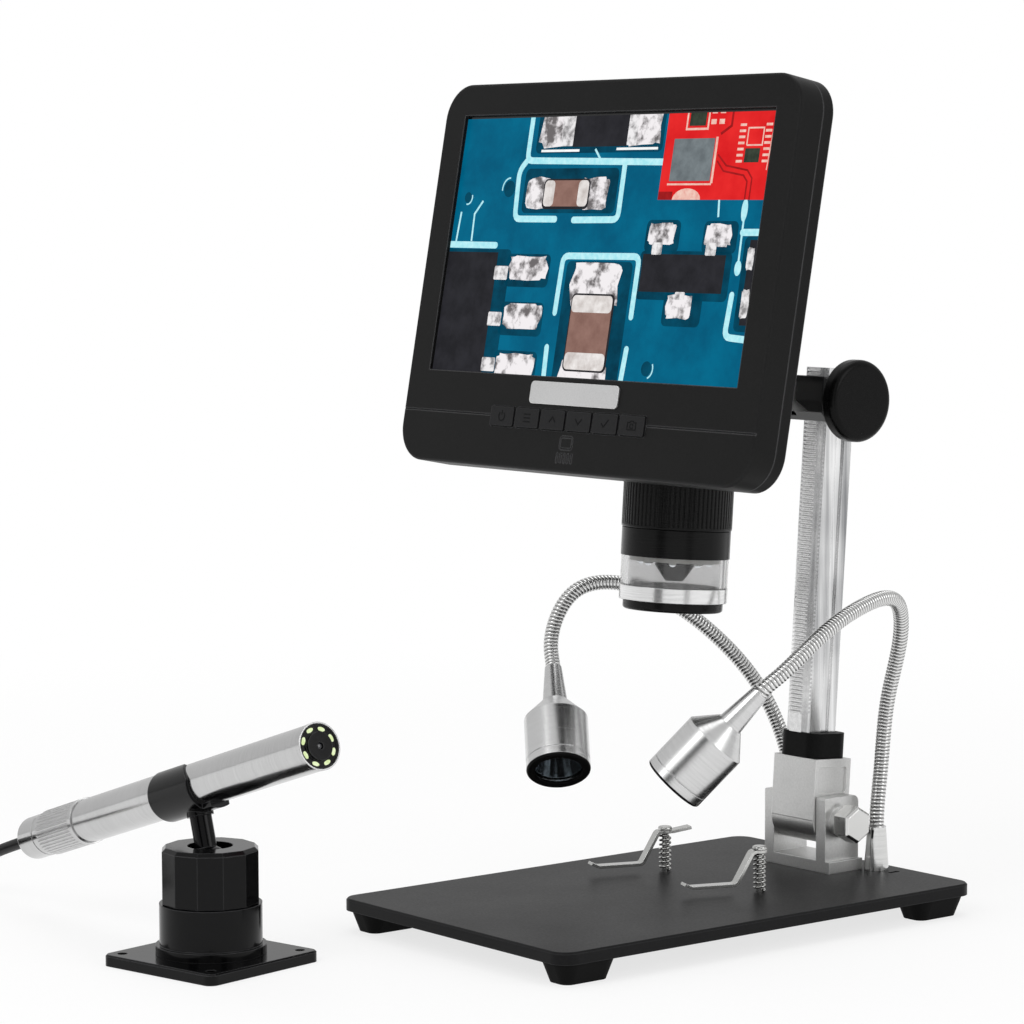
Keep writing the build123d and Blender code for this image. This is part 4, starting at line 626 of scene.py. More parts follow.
# ------------------------------------------------------------ mesh building
def squarish(angle: float, power: float) -> Pair:
    """Point at an angle of a square of half width 1, rounder as power nears 1."""
    c, s = math.cos(angle), math.sin(angle)
    return math.copysign(abs(c) ** power, c), math.copysign(abs(s) ** power, s)


def merged(*meshes: Mesh) -> Mesh:
    """Put several closed meshes into one list of points and faces.

    Args:
        meshes: Points and faces of each.

    Returns:
        Points and faces of all.
    """
    points: list[Vector] = []
    faces: Faces = []
    for more_points, more_faces in meshes:
        start = len(points)
        points.extend(more_points)
        faces.extend(tuple(start + i for i in face) for face in more_faces)
    return points, faces


def loft(rings: list[list[Vector]], closed: bool = False) -> Mesh:
    """Skin a row of rings that all have as many points.

    Args:
        rings: The rings in order, each a list of points.
        closed: True where the last ring joins the first, as on a band.

    Returns:
        Points and faces, with flat ends unless it is closed.
    """
    count = len(rings[0])
    points = [point for ring in rings for point in ring]
    faces: Faces = []
    spans = len(rings) if closed else len(rings) - 1
    for row in range(spans):
        below = row * count
        above = (row + 1) % len(rings) * count
        for i in range(count):
            j = (i + 1) % count
            faces.append((below + i, below + j, above + j, above + i))
    if not closed:
        faces.append(tuple(reversed(range(count))))
        faces.append(tuple(range((len(rings) - 1) * count, len(rings) * count)))
    return points, faces


def lathe(place: Place, profile: Outline, steps: int = 64) -> Mesh:
    """Turn a closed outline of radius and height about a frame's z axis.

    Args:
        place: The frame.
        profile: Corners of the section, each a radius and a height.
        steps: Sides of the turned form.

    Returns:
        Points and faces of the ring or cup.
    """
    rings = []
    for step in range(steps):
        angle = 2 * math.pi * step / steps
        c, s = math.cos(angle), math.sin(angle)
        rings.append([place.at(r * c, r * s, z) for r, z in profile])
    return loft(rings, closed=True)


def slab(place: Place, outline: Outline, low: float, high: float) -> Mesh:
    """Raise a flat outline from low to high along a frame's z axis."""
    return loft([place.ring(outline, z) for z in (low, high)])


def circle(x: float, y: float, radius: float, steps: int = 24) -> Outline:
    """Corners of a round outline."""
    return ellipse(x, y, radius, radius, steps)


def ellipse(x: float, y: float, half_width: float, half_height: float, steps: int = 24) -> Outline:
    """Corners of an oval outline."""
    turns = [2 * math.pi * i / steps for i in range(steps)]
    return [(x + half_width * math.cos(a), y + half_height * math.sin(a)) for a in turns]


def arc(x: float, y: float, radius: float, first: float, last: float, count: int) -> Outline:
    """Points of an open arc between two angles in radians."""
    return [(x + radius * math.cos(a), y + radius * math.sin(a)) for a in np.linspace(first, last, count)]


def box(left: float, bottom: float, right: float, top: float, corner: float = 0.0) -> Outline:
    """Corners of a square outline, rounded where a corner radius is given.

    Args:
        left: Its left side.
        bottom: Its lower side.
        right: Its right side.
        top: Its upper side.
        corner: Radius of its corners, or 0 for sharp ones.

    Returns:
        Corners of the closed outline.
    """
    if not corner:
        return [(left, bottom), (right, bottom), (right, top), (left, top)]
    points: Outline = []
    middles = ((right - corner, top - corner), (left + corner, top - corner))
    middles += ((left + corner, bottom + corner), (right - corner, bottom + corner))
    for number, (x, y) in enumerate(middles):
        points += arc(x, y, corner, math.pi / 2 * number, math.pi / 2 * (number + 1), 5)
    return points


def eased(path: Outline, radius: float) -> Outline:
    """Round the corners of an open line.

    Args:
        path: Points of the line.
        radius: Distance from a corner at which its bend begins.

    Returns:
        The line, with a short bend in place of each inner point.
    """
    bent = [path[0]]
    for before, corner, after in zip(path, path[1:], path[2:]):
        start = Vector(corner) + (Vector(before) - Vector(corner)).normalized() * radius
        end = Vector(corner) + (Vector(after) - Vector(corner)).normalized() * radius
        for step in range(5):
            t = step / 4
            spot = start * (1 - t) ** 2 + Vector(corner) * (2 * t * (1 - t)) + end * t**2
            bent.append((spot.x, spot.y))
    return [*bent, path[-1]]


def stroke(path: Outline, width: float) -> Outline:
    """Outline of a line of even width with mitred corners.

    Args:
        path: Points of the line's middle.
        width: Width of the line.

    Returns:
        Corners of the closed outline, one side up and the other down.
    """
    half = width / 2
    left: Outline = []
    right: Outline = []
    for i, (x, y) in enumerate(path):
        before = Vector(path[i]) - Vector(path[i - 1]) if i else Vector(path[1]) - Vector(path[0])
        after = Vector(path[i + 1]) - Vector(path[i]) if i + 1 < len(path) else before
        ahead = (before.normalized() + after.normalized()).normalized()
        across = Vector((-ahead.y, ahead.x))
        lean = max(0.4, across.dot(Vector((-before.y, before.x)).normalized()))  # keeps mitres short
        left.append((x + across.x * half / lean, y + across.y * half / lean))
        right.append((x - across.x * half / lean, y - across.y * half / lean))
    return right + left[::-1]


def tube(line: list[Vector], radius: Reach, sides: int, start_side: Vector) -> Mesh:
    """Round tube along a line, without twist.

    Args:
        line: Points of the middle, in metres.
        radius: A length in metres, or a function of the ring's number and angle.
        sides: Points around each ring.
        start_side: Direction that the first ring's first point leans to.

    Returns:
        Points and faces with closed ends.
    """
    rings = []
    side = start_side
    for i, point in enumerate(line):
        ahead = line[min(i + 1, len(line) - 1)] - line[max(i - 1, 0)]
        place = Place.facing(point, ahead, side)
        side = place.x
        ring = []
        for step in range(sides):
            angle = 2 * math.pi * step / sides
            reach = radius(i, angle) if callable(radius) else radius
            ring.append(point + (place.x * math.cos(angle) + place.y * math.sin(angle)) * reach)
        rings.append(ring)
    return loft(rings)


def add_piece(
    name: str,
    shape: Mesh,
    finish: Finish,
    body: str | None,
    smooth: float = 40.0,
) -> bpy.types.Object:
    """Make a piece from points and faces, dress it and set it on its body.

    Args:
        name: The piece's name.
        shape: Its points, in metres, and its faces.
        finish: What its surface is.
        body: The body that it rides on, or None where it rides on none.
        smooth: Largest angle between faces that is shaded as one, in degrees.

    Returns:
        The new object.
    """
    mesh = make_mesh(name, *shape)
    mesh.validate()
    mesh.update()
    mesh.shade_smooth()
    mesh.set_sharp_from_angle(angle=math.radians(smooth))
    mesh.materials.append(finish.material())
    piece = add_object(name, mesh)
    if body:
        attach(piece, body)
    log.info("%s: %d faces, %s", name, len(mesh.polygons), finish.name)
    return piece


# ------------------------------------------------------------------- studio
@dataclass
class Studio:
    """Camera, pale floor and soft light.

    Attributes:
        place: Where the camera stands, in metres.
        azimuth: Degrees that it has gone round from the front.
        elevation: Degrees that it looks down.
        roll: Degrees that it is turned about its own axis.
        focal: Focal length, in millimetres on the sensor below.
        sensor: Width of the sensor, in millimetres.
        floor_radius: Radius of the floor, in metres.
        floor_fade: Distances from the middle between which the floor fades to white, in metres.
        floor_pale: Colour of the floor for soft light, and of its own glow.
        floor_held: Colour that shows the shadows near the object.
        floor_glow: Strength of the floor's own glow.
        soft_light: Brightness of the world on dull surfaces.
        wall_grey: Brightness of the upper wall in a mirror, where 1 is white.
        wall_foot: Heights on a unit sphere between which the mirrored wall turns grey.
        line: Height of the dark line at the wall's foot, and half its width, on that sphere.
        line_depth: How much darker than the wall the line is.
        aim: Point that the soft boxes face, in metres.
        lights: Name, place in metres, width in metres and power in watts of each soft box.
        cards: For each dark card, its name and the turns from the front between which it stands.
        card_reach: Distance of the dark cards, in metres.
        card_top: Height of the dark cards, in metres.
    """

    place: Triple = (0.88212, -0.766795, 0.24174)
    azimuth: float = 51.378
    elevation: float = 5.145
    roll: float = -0.182
    focal: float = 125.747
    sensor: float = 36.0
    floor_radius: float = 6.0
    floor_fade: Pair = (0.32, 0.75)
    floor_pale: str = "#f2f2f2"
    floor_held: str = "#8c8c8c"
    floor_glow: float = 0.84
    soft_light: float = 0.62
    wall_grey: float = 0.72
    wall_foot: Pair = (0.015, 0.03)
    line: Pair = (0.022, 0.012)
    line_depth: float = 0.45
    aim: Triple = (0.0, -0.03, 0.12)
    lights: tuple[tuple[str, Triple, float, float], ...] = (
        ("key_light", (0.1, -1.5, 1.3), 1.1, 9.0),
        ("fill_light", (1.5, 0.5, 0.8), 0.8, 4.0),
        ("top_light", (-0.3, 0.3, 1.9), 1.2, 6.0),
    )
    cards: tuple[tuple[str, float, float], ...] = (
        ("left_card", 8.0, 26.0),
        ("right_card", 72.0, 84.0),
        ("rear_card", 182.0, 192.0),
    )
    card_reach: float = 2.2
    card_top: float = 1.6

    def make_camera(self) -> None:
        """Set the camera at its place."""
        a, e, r = (math.radians(v) for v in (self.azimuth, self.elevation, self.roll))
        back = Vector((math.sin(a) * math.cos(e), -math.cos(a) * math.cos(e), math.sin(e)))
        right = Vector((math.cos(a), math.sin(a), 0))
        up = back.cross(right)
        across = right * math.cos(r) + up * math.sin(r)
        upward = up * math.cos(r) - right * math.sin(r)
        lens = bpy.data.cameras.new("camera")
        lens.lens = self.focal
        lens.sensor_width = self.sensor
        lens.clip_start = 0.01
        lens.clip_end = 50.0
        camera = add_object("camera", lens)
        turn = Matrix((across, upward, back)).transposed().to_4x4()
        camera.matrix_world = Matrix.Translation(self.place) @ turn
        bpy.context.scene.camera = camera

    def seen_straight(self, tree: bpy.types.NodeTree) -> tuple[bpy.types.Node, str]:
        """Tell a ray of the camera, a mirror or a glass from soft light.

        Args:
            tree: The node tree that asks.

        Returns:
            The node and output that are 1 for such a ray.
        """
        path = add_node(tree, "ShaderNodeLightPath")
        larger = {"operation": "MAXIMUM"}
        straight = {0: (path, "Is Camera Ray"), 1: (path, "Is Glossy Ray")}
        mirror = add_node(tree, "ShaderNodeMath", larger, straight)
        through = {0: (mirror, "Value"), 1: (path, "Is Transmission Ray")}
        return add_node(tree, "ShaderNodeMath", larger, through), "Value"

    def make_world(self) -> None:
        """Fill the world with soft light that is seen as white.

        A mirror sees its upper part as a greyer wall, with a thin dark line at its foot.
        """
        world = bpy.data.worlds.new("soft_room")
        world.use_nodes = True
        bpy.context.scene.world = world
        tree = world.node_tree
        tree.nodes.clear()
        white = {"Color": linear("#ffffff")}
        soft = add_node(tree, "ShaderNodeBackground", {**white, "Strength": self.soft_light})
        plain = add_node(tree, "ShaderNodeBackground", {**white, "Strength": 1.0})
        parts = {0: self.seen_straight(tree), 1: (soft, "Background"), 2: (plain, "Background")}
        both = add_node(tree, "ShaderNodeMixShader", None, parts)
        looked = add_node(tree, "ShaderNodeTexCoord")
        rise = add_node(tree, "ShaderNodeSeparateXYZ", None, {"Vector": (looked, "Generated")})
        low, high = self.wall_foot
        greying = {"From Min": low, "From Max": high, "To Min": 1.0, "To Max": self.wall_grey}
        wall = add_node(tree, "ShaderNodeMapRange", greying, {"Value": (rise, "Z")})
        near = {"operation": "COMPARE", 1: self.line[0], 2: self.line[1]}
        line = add_node(tree, "ShaderNodeMath", near, {0: (rise, "Z")})
        darker = {"operation": "MULTIPLY_ADD", 1: -self.line_depth}
        drawn = add_node(tree, "ShaderNodeMath", darker, {0: (line, "Value"), 2: (wall, "Result")})
        mirrored = add_node(tree, "ShaderNodeBackground", white, {"Strength": (drawn, "Value")})
        path = add_node(tree, "ShaderNodeLightPath")
        parts = {0: (path, "Is Glossy Ray"), 1: (both, "Shader"), 2: (mirrored, "Background")}
        whole = add_node(tree, "ShaderNodeMixShader", None, parts)
        add_node(tree, "ShaderNodeOutputWorld", None, {"Surface": (whole, "Shader")})

    def make_floor(self) -> None:
        """Lay a pale floor that is seen as white and keeps a shadow."""
        points = [Vector((x, y, 0)) for x, y in circle(0, 0, self.floor_radius, 96)]
        mesh = make_mesh("floor", points, [tuple(range(len(points)))])
        paint = bpy.data.materials.new("pale_floor")
        paint.use_nodes = True
        tree = paint.node_tree
        tree.nodes.clear()
        pale = {"Color": linear(self.floor_pale)}
        dull = add_node(tree, "ShaderNodeBsdfDiffuse", pale)
        held = add_node(tree, "ShaderNodeBsdfDiffuse", {"Color": linear(self.floor_held)})
        glow = add_node(tree, "ShaderNodeEmission", {**pale, "Strength": self.floor_glow})
        near = add_node(tree, "ShaderNodeAddShader", None, {0: (held, "BSDF"), 1: (glow, "Emission")})
        white = add_node(tree, "ShaderNodeEmission", {"Color": linear("#ffffff"), "Strength": 1.0})
        place = add_node(tree, "ShaderNodeTexCoord")
        length = {"operation": "LENGTH"}
        distance = add_node(tree, "ShaderNodeVectorMath", length, {0: (place, "Object")})
        start, end = self.floor_fade
        fading = {"interpolation_type": "SMOOTHSTEP", "From Min": start, "From Max": end}
        faded = add_node(tree, "ShaderNodeMapRange", fading, {"Value": (distance, "Value")})
        parts = {0: (faded, "Result"), 1: (near, "Shader"), 2: (white, "Emission")}
        shown = add_node(tree, "ShaderNodeMixShader", None, parts)
        parts = {0: self.seen_straight(tree), 1: (dull, "BSDF"), 2: (shown, "Shader")}
        both = add_node(tree, "ShaderNodeMixShader", None, parts)
        add_node(tree, "ShaderNodeOutputMaterial", None, {"Surface": (both, "Shader")})
        mesh.materials.append(paint)
        add_object("floor", mesh)

    def make_lights(self) -> None:
        """Hang a large soft box on the left of the camera and smaller ones right and above."""
        for name, place, size, power in self.lights:
            lamp = bpy.data.lights.new(name, "AREA")
            lamp.size = size
            lamp.energy = power
            light = add_object(name, lamp)
            light.location = place
            light.rotation_euler = (Vector(self.aim) - Vector(place)).to_track_quat("-Z", "Y").to_euler()

    def make_cards(self) -> None:
        """Stand dark cards that only shiny surfaces see, so that metal has dark bands."""
        paint = bpy.data.materials.new("dark_card")
        paint.use_nodes = True
        shader = paint.node_tree.nodes["Principled BSDF"]
        wire(paint.node_tree, shader, {"Base Color": linear("#0a0a0a"), "Specular IOR Level": 0.0})
        for name, start, end in self.cards:
            turns = np.radians((start, end))
            foot = [Vector((math.sin(a), -math.cos(a), 0)) * self.card_reach for a in turns]
            head = [point + Vector((0, 0, self.card_top)) for point in reversed(foot)]
            mesh = make_mesh(name, foot + head, [(0, 1, 2, 3)])
            mesh.materials.append(paint)
            card = add_object(name, mesh)
            card.visible_camera = False
            card.visible_diffuse = False
            card.visible_transmission = False
            card.visible_shadow = False

    def make(self) -> None:
        """Make the camera, world, floor, lights and cards."""
        self.make_camera()
        self.make_world()
        self.make_floor()
        self.make_lights()
        self.make_cards()
        bpy.context.scene.view_settings.view_transform = "Standard"


# --------------------------------------------------------------------- cord
@dataclass
class UsbPlug:
    """The plug's moulded grip with its ribbed relief, its shell, tongue and contacts.

    Attributes:
        place: Frame of the plug: z runs out of its shell and y up.
        start: Where the relief begins along z, which the next measures count from.
        ribs: Number of ribs on the relief.
        rib_pitch: Distance between them.
        grip: Place, half width and half height of each section of the grip.
        ridges: Number of ridges across the grip.
        ridge_first: Where the first one begins.
        ridge_pitch: Distance between them.
        shell: Where the shell begins and ends.
        half_width: Half the shell's width.
        half_height: Half the shell's height.
        wall: Thickness of the shell.
        hole_along: Start and end of the two holes in the shell's top, from where it begins.
        hole_across: Sides of a hole, from the middle.
        tongue: Half the width of the tongue, and the height of its face.
        strips: Middles of the contacts.
    """

    place: Place
    start: float
    ribs: int = 4
    rib_pitch: float = 2.6
    grip: Rows = (
        (12.6, 4.6, 3.0), (13.4, 6.4, 3.5), (15.0, 7.3, 3.75), (17.5, 7.5, 3.8), (20.0, 7.1, 3.7),
        (28.5, 7.1, 3.7), (31.0, 7.5, 3.8), (35.6, 7.5, 3.8), (36.8, 7.0, 3.4),
    )
    ridges: int = 5
    ridge_first: float = 21.0
    ridge_pitch: float = 1.6
    shell: Pair = (36.6, 54.0)
    half_width: float = 6.0
    half_height: float = 2.25
    wall: float = 0.35
    hole_along: Pair = (5.2, 7.7)
    hole_across: Pair = (1.4, 3.9)
    tongue: Pair = (5.4, -0.1)
    strips: tuple[float, ...] = (-3.5, -1.0, 1.0, 3.5)

    def grip_shape(self) -> Mesh:
        """Mould the relief and the grip with its ridges.

        Returns:
            Points and faces.
        """
        points = 32  # around each ring
        relief = [(0.0, 2.4), (0.6, 2.6)]
        for rib in range(self.ribs):
            z, swell = 2.2 + rib * self.rib_pitch, rib * 0.12  # the ribs grow towards the grip
            relief += [(z, 2.65 + swell), (z + 0.3, 2.2), (z + 1.0, 2.2), (z + 1.3, 2.75 + swell)]
        rings = [self.place.ring(circle(0, 0, r, points), self.start + z) for z, r in relief]
        corners = [squarish(2 * math.pi * i / points, 0.4) for i in range(points)]
        for z, w, h in self.grip:
            rings.append(self.place.ring([(w * u, h * v) for u, v in corners], self.start + z))
        ridges = []
        for ridge in range(self.ridges):
            z = self.start + self.ridge_first + ridge * self.ridge_pitch
            for x in (-3.6, 3.6):  # two short ridges side by side, sunk a little into the grip
                ridges.append(slab(self.place, box(x - 3.0, 3.5, x + 3.0, 3.95), z, z + 0.7))
        return merged(loft(rings), *ridges)

    def shell_shape(self, back: float, front: float) -> Mesh:
        """Fold the shell, with two holes in its top.

        Args:
            back: Where it begins along z.
            front: Where it ends.

        Returns:
            Points and faces.
        """
        w, h, wall = self.half_width, self.half_height, self.wall
        sides = ((-w, -h, w, wall - h), (-w, wall - h, wall - w, h - wall), (w - wall, wall - h, w, h - wall))
        near, far = (back + z for z in self.hole_along)
        inner, outer = self.hole_across
        tops = ((-w, w, back, near), (-w, w, far, front))
        tops += ((-w, -outer, near, far), (-inner, inner, near, far), (outer, w, near, far))
        parts = [slab(self.place, box(*side), back, front) for side in sides]
        parts += [slab(self.place, box(x0, h - wall, x1, h), z0, z1) for x0, x1, z0, z1 in tops]
        return merged(*parts)

    def make(self) -> list[bpy.types.Object]:
        """Build the plug in place of the plain one.

        Returns:
            Its pieces.
        """
        back, front = (self.start + z for z in self.shell)
        half, face = self.tongue
        tongue = slab(self.place, box(-half, self.wall - self.half_height, half, face), back, front - 1.0)
        strips = []
        for x in self.strips:
            strips.append(slab(self.place, box(x - 0.5, face, x + 0.5, 0.05), back + 8.0, front - 1.8))
        parts = (
            ("plug_grip", self.grip_shape(), PLUG_PVC),
            ("plug_shell", self.shell_shape(back, front), NICKEL),
            ("plug_tongue", tongue, WHITE_BOARD),
            ("plug_contacts", merged(*strips), GOLD),
        )
        pieces = [add_piece(name, shape, finish, "scope_pan") for name, shape, finish in parts]
        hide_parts("usb_plug")
        return pieces


@dataclass
class CameraCord:
    """The tube camera's cord, wound in a tied coil, and its USB plug.

    Attributes:
        radius: Half the cord's thickness.
        sides: Points around it.
        exit_back: How far behind the ball the cord leaves the cap.
        route: The bends from the cap to the coil.
        coil: Middle of the coil on the floor.
        turn_radii: Radius of each turn of the coil, in the order of winding.
        layers: Height of the cord's middle in each layer of turns.
        leaving: Points of the last turn before the cord leaves the coil.
        steps: Points in one turn.
        start: Angle of the coil's first point, in degrees.
        plug_angle: Angle where the plug lies beside the coil, in degrees.
        plug_lateral: From the coil's middle to the plug's axis.
        plug_height: Height of the plug's axis.
        plug_start: Where the plug's relief begins along that axis.
        way_out: Angle, reach and height of the cord's points between the coil and the plug.
        lead_in: Points of the cord on the plug's axis, before its relief.
        tie_angle: Angle where the tie lies, in degrees.
        tab: Start and end of the tie's loose tab, from the middle of its top.
        length: Real length, in metres. It is not used.
    """

    radius: float = 2.0
    sides: int = 14
    exit_back: float = 103.0
    route: Rows = (
        (-173.5, -150.0, 16.9),
        (-185.6, -149.6, 11.3),
        (-197.0, -150.6, 6.3),
        (-209.0, -153.6, 3.0),
        (-220.0, -158.6, 2.2),
        (-225.6, -163.2, 2.2),
        (-229.0, -166.0, 2.3),
    )
    coil: Pair = (-219.0, -192.0)
    turn_radii: tuple[float, ...] = (28.0, 24.0, 20.0, 16.0, 16.0, 20.0, 24.0, 28.0, 28.0)
    layers: Pair = (2.5, 6.6)
    leaving: int = 4
    steps: int = 16
    start: float = 111.0
    plug_angle: float = -78.0
    plug_lateral: float = 33.2
    plug_height: float = 3.8
    plug_start: float = 4.0
    way_out: Rows = (
        (216.0, 29.5, 6.6),
        (230.0, 32.0, 6.3),
        (244.0, 34.2, 5.0),
    )
    lead_in: tuple[float, ...] = (-12.0, -5.0, 1.5)
    tie_angle: float = 20.0
    tab: Pair = (-2.0, 7.5)
    length: float = 1.3

    def exit(self) -> Vector:
        """Point where the cord leaves the tube camera's cap."""
        return TubeCamera().place().at(0, 0, -self.exit_back)

    def plug_place(self) -> Place:
        """Set the plug beside the coil.

        Returns:
            Its frame: z runs out of its shell and y up.
        """
        angle = math.radians(self.plug_angle)
        outward = Vector((math.cos(angle), math.sin(angle), 0))
        ahead = Vector((-outward.y, outward.x, 0))
        middle = Vector((*self.coil, self.plug_height)) + outward * self.plug_lateral
        return Place.facing(middle * MM, ahead, outward)

    def around(self, angle: float, reach: float, height: float) -> Vector:
        """Point at an angle in radians about the coil's middle, in metres."""
        x, y = self.coil
        return Vector((x + reach * math.cos(angle), y + reach * math.sin(angle), height)) * MM

    def winding(self) -> list[Vector]:
        """Wind the coil's turns.

        In each turn the first quarter climbs to the next layer and the second
        quarter steps across to the next radius, so that no turn cuts another.

        Returns:
            Points of the turns, in metres.
        """
        draw_in = math.cos(math.pi / self.steps)  # the curve runs this far inside its points
        half = len(self.turn_radii) // 2
        count = (len(self.turn_radii) - 1) * self.steps + self.leaving
        low, high = self.layers
        points = []
        for i in range(1, count + 1):
            turn, part = i // self.steps, i % self.steps / self.steps
            across = min(1.0, max(0.0, part * 4 - 1))
            before = self.turn_radii[max(0, turn - 1)]
            reach = before + (self.turn_radii[turn] - before) * across
            climb = min(1.0, part * 4) if turn == half else float(turn > half)
            angle = math.radians(self.start) + 2 * math.pi * i / self.steps
            points.append(self.around(angle, reach / draw_in, low + (high - low) * climb))
        return points

    def lead(self) -> list[Vector]:
        """Lead the cord from the coil to the plug.

        Returns:
            Points of that way, in metres.
        """
        points = [self.around(math.radians(angle), reach, height) for angle, reach, height in self.way_out]
        plug = self.plug_place()
        return points + [plug.at(0, 0, z) for z in (*self.lead_in, self.plug_start + 0.2)]

    def line(self) -> list[Vector]:
        """Draw the cord's middle as one smooth line.

        Returns:
            Points along it, in metres.
        """
        stops = [self.exit(), *(Vector(p) * MM for p in self.route), *self.winding(), *self.lead()]
        curve = bpy.data.curves.new("cord_line", "CURVE")
        curve.dimensions = "3D"
        spline = curve.splines.new("NURBS")
        spline.points.add(len(stops) - 1)
        for point, stop in zip(spline.points, stops):
            point.co = (*stop, 1.0)
        spline.order_u = 3
        spline.use_endpoint_u = True
        spline.resolution_u = 6
        guide = add_object("cord_line", curve)
        bpy.context.view_layer.update()
        drawn = bpy.data.meshes.new_from_object(guide)
        points = [vertex.co.copy() for vertex in drawn.vertices]
        bpy.data.objects.remove(guide)
        bpy.data.curves.remove(curve)
        bpy.data.meshes.remove(drawn)
        return points

    def make_tie(self) -> bpy.types.Object:
        """Wrap a hook-and-loop strap round the coil's turns.

        Returns:
            The tie.
        """
        half_width, thickness, corner, gap = 4.0, 0.4, 2.0, 0.3
        angle = math.radians(self.tie_angle)
        up, out = Vector((0, 0, 1)), Vector((math.cos(angle), math.sin(angle), 0))
        place = Place.facing(Vector((*self.coil, 0)) * MM, up, out)
        left = min(self.turn_radii) - self.radius - gap
        right = max(self.turn_radii) + self.radius + gap
        top = self.layers[1] + self.radius + gap
        inside = box(left, thickness, right, top, corner)
        outside = box(left - thickness, 0, right + thickness, top + thickness, corner + thickness)
        rings = []
        for near, far in zip(inside, outside):
            edges = ((near, -half_width), (far, -half_width), (far, half_width), (near, half_width))
            rings.append([place.at(r, across, z) for (r, z), across in edges])
        seat = Place.facing(place.at((left + right) / 2, 0, top), up, out)
        start, end = self.tab  # lies on the strap, a little thicker than it
        tab = slab(seat, box(start, -half_width, end, half_width), thickness, 2.2 * thickness)
        return add_piece("cord_tie", merged(loft(rings, closed=True), tab), PILE, "scope_pan")

    def make(self) -> None:
        line = self.line()
        shape = tube(line, self.radius * MM, self.sides, Vector((0, 0, 1)))
        cord = add_piece("camera_cord", shape, PVC, None, 60.0)
        tie = self.make_tie()
        plug = UsbPlug(self.plug_place(), self.plug_start).make()
        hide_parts("cord_tube", "cord_coil")
        self.exit()
        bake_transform(cord)
        self.exit()


# -------------------------------------------------------------- tube camera
@dataclass
class TubeCamera:
    """The metal tube camera on its ball, with its ring of lit chips.

    Attributes:
        ball: Middle of the ball.
        pitch: Degrees that the tube points up.
        offset: From the ball to the tube's axis.
        face: Where the black face stands, ahead of the ball.
        chip_circle: Radius of the ring of chips.
        chips: Number of chips.
        window: Half width and half height of the window over each chip.
        rim: Section of the bright rim: radius, and place ahead of the face.
    """

    ball: Triple = (-42.0, -150.0, 29.2)
    pitch: float = 17.2
    offset: float = 27.18
    face: float = 70.0
    chip_circle: float = 5.5
    chips: int = 8
    window: Pair = (0.62, 1.25)
    rim: Rows = (
        (7.33, -1.1),
        (7.42, -1.0),
        (7.42, 0.66),
        (7.34, 0.74),
        (6.98, 0.74),
        (6.94, 0.63),
        (7.33, 0.63),
    )

    def place(self) -> Place:
        """Find the tube's axis beside the ball.

        Returns:
            A frame on it: z runs forward.
        """
        a = math.radians(self.pitch)
        forward = Vector((math.cos(a), 0, math.sin(a)))
        up = Vector((-math.sin(a), 0, math.cos(a)))
        return Place.facing((Vector(self.ball) + up * self.offset) * MM, forward, up)

    def make_face(self) -> None:
        """Set the ring of chips and the dark lens into the face, and the bright rim round it."""
        tube_place = self.place()
        width, height = self.window
        windows = []
        for number in range(self.chips):
            a = math.radians(22.5) + 2 * math.pi * number / self.chips
            radial, across = Vector((math.cos(a), math.sin(a))), Vector((-math.sin(a), math.cos(a)))
            rings = []
            for share, ahead in ((1.0, -0.25), (1.0, 0.1), (0.8, 0.25)):
                oval = ellipse(0, 0, width * share, height * share, 20)
                spots = [radial * (self.chip_circle + x) + across * y for x, y in oval]
                rings.append(tube_place.ring(spots, self.face + ahead))
            windows.append(loft(rings))
        add_piece("scope_lit_windows", merged(*windows), LIT_CHIP, "scope")
        dome = [(r, 0.45 + 0.35 * math.sqrt(max(0.0, 1 - (r / 1.1) ** 2))) for r in (1.05, 0.8, 0.5, 0.02)]
        sections = (
            ("scope_lens", [(0.02, 0.05), (1.05, 0.05), *dome], 32, LENS_BLACK, "lens_glass", 70.0),
            ("scope_bright_rim", self.rim, 72, TURNED_TUBE, "scope_silver", 40.0),
        )
        for name, section, steps, finish, slot, smooth in sections:
            shape = lathe(tube_place, [(r, self.face + z) for r, z in section], steps)
            add_piece(name, shape, finish, "scope", smooth)

    def make(self) -> None:
        """Dress the tube camera and build its face."""
        dress(TURNED_TUBE, "scope_tube", "scope_cap")
        dress(GLOSS_ABS, "scope_clip", "ball_stem", "scope_front")
        self.make_face()


@dataclass
class TubeStand:
    """The square foot, turned body, nut and seat that hold the tube camera."""

    def make(self) -> None:
        """Dress the stand."""
        dress(GLOSS_ABS, "stand_body", "lock_nut", "stand_foot")
        dress(NYLON, "ball_seat")


# ------------------------------------------------------------------- screen
class Mark(Enum):
    """The plain signs on the keys."""

    POWER = 1
    MENU = 2
    UP = 3
    DOWN = 4
    CONFIRM = 5
    PICTURE = 6


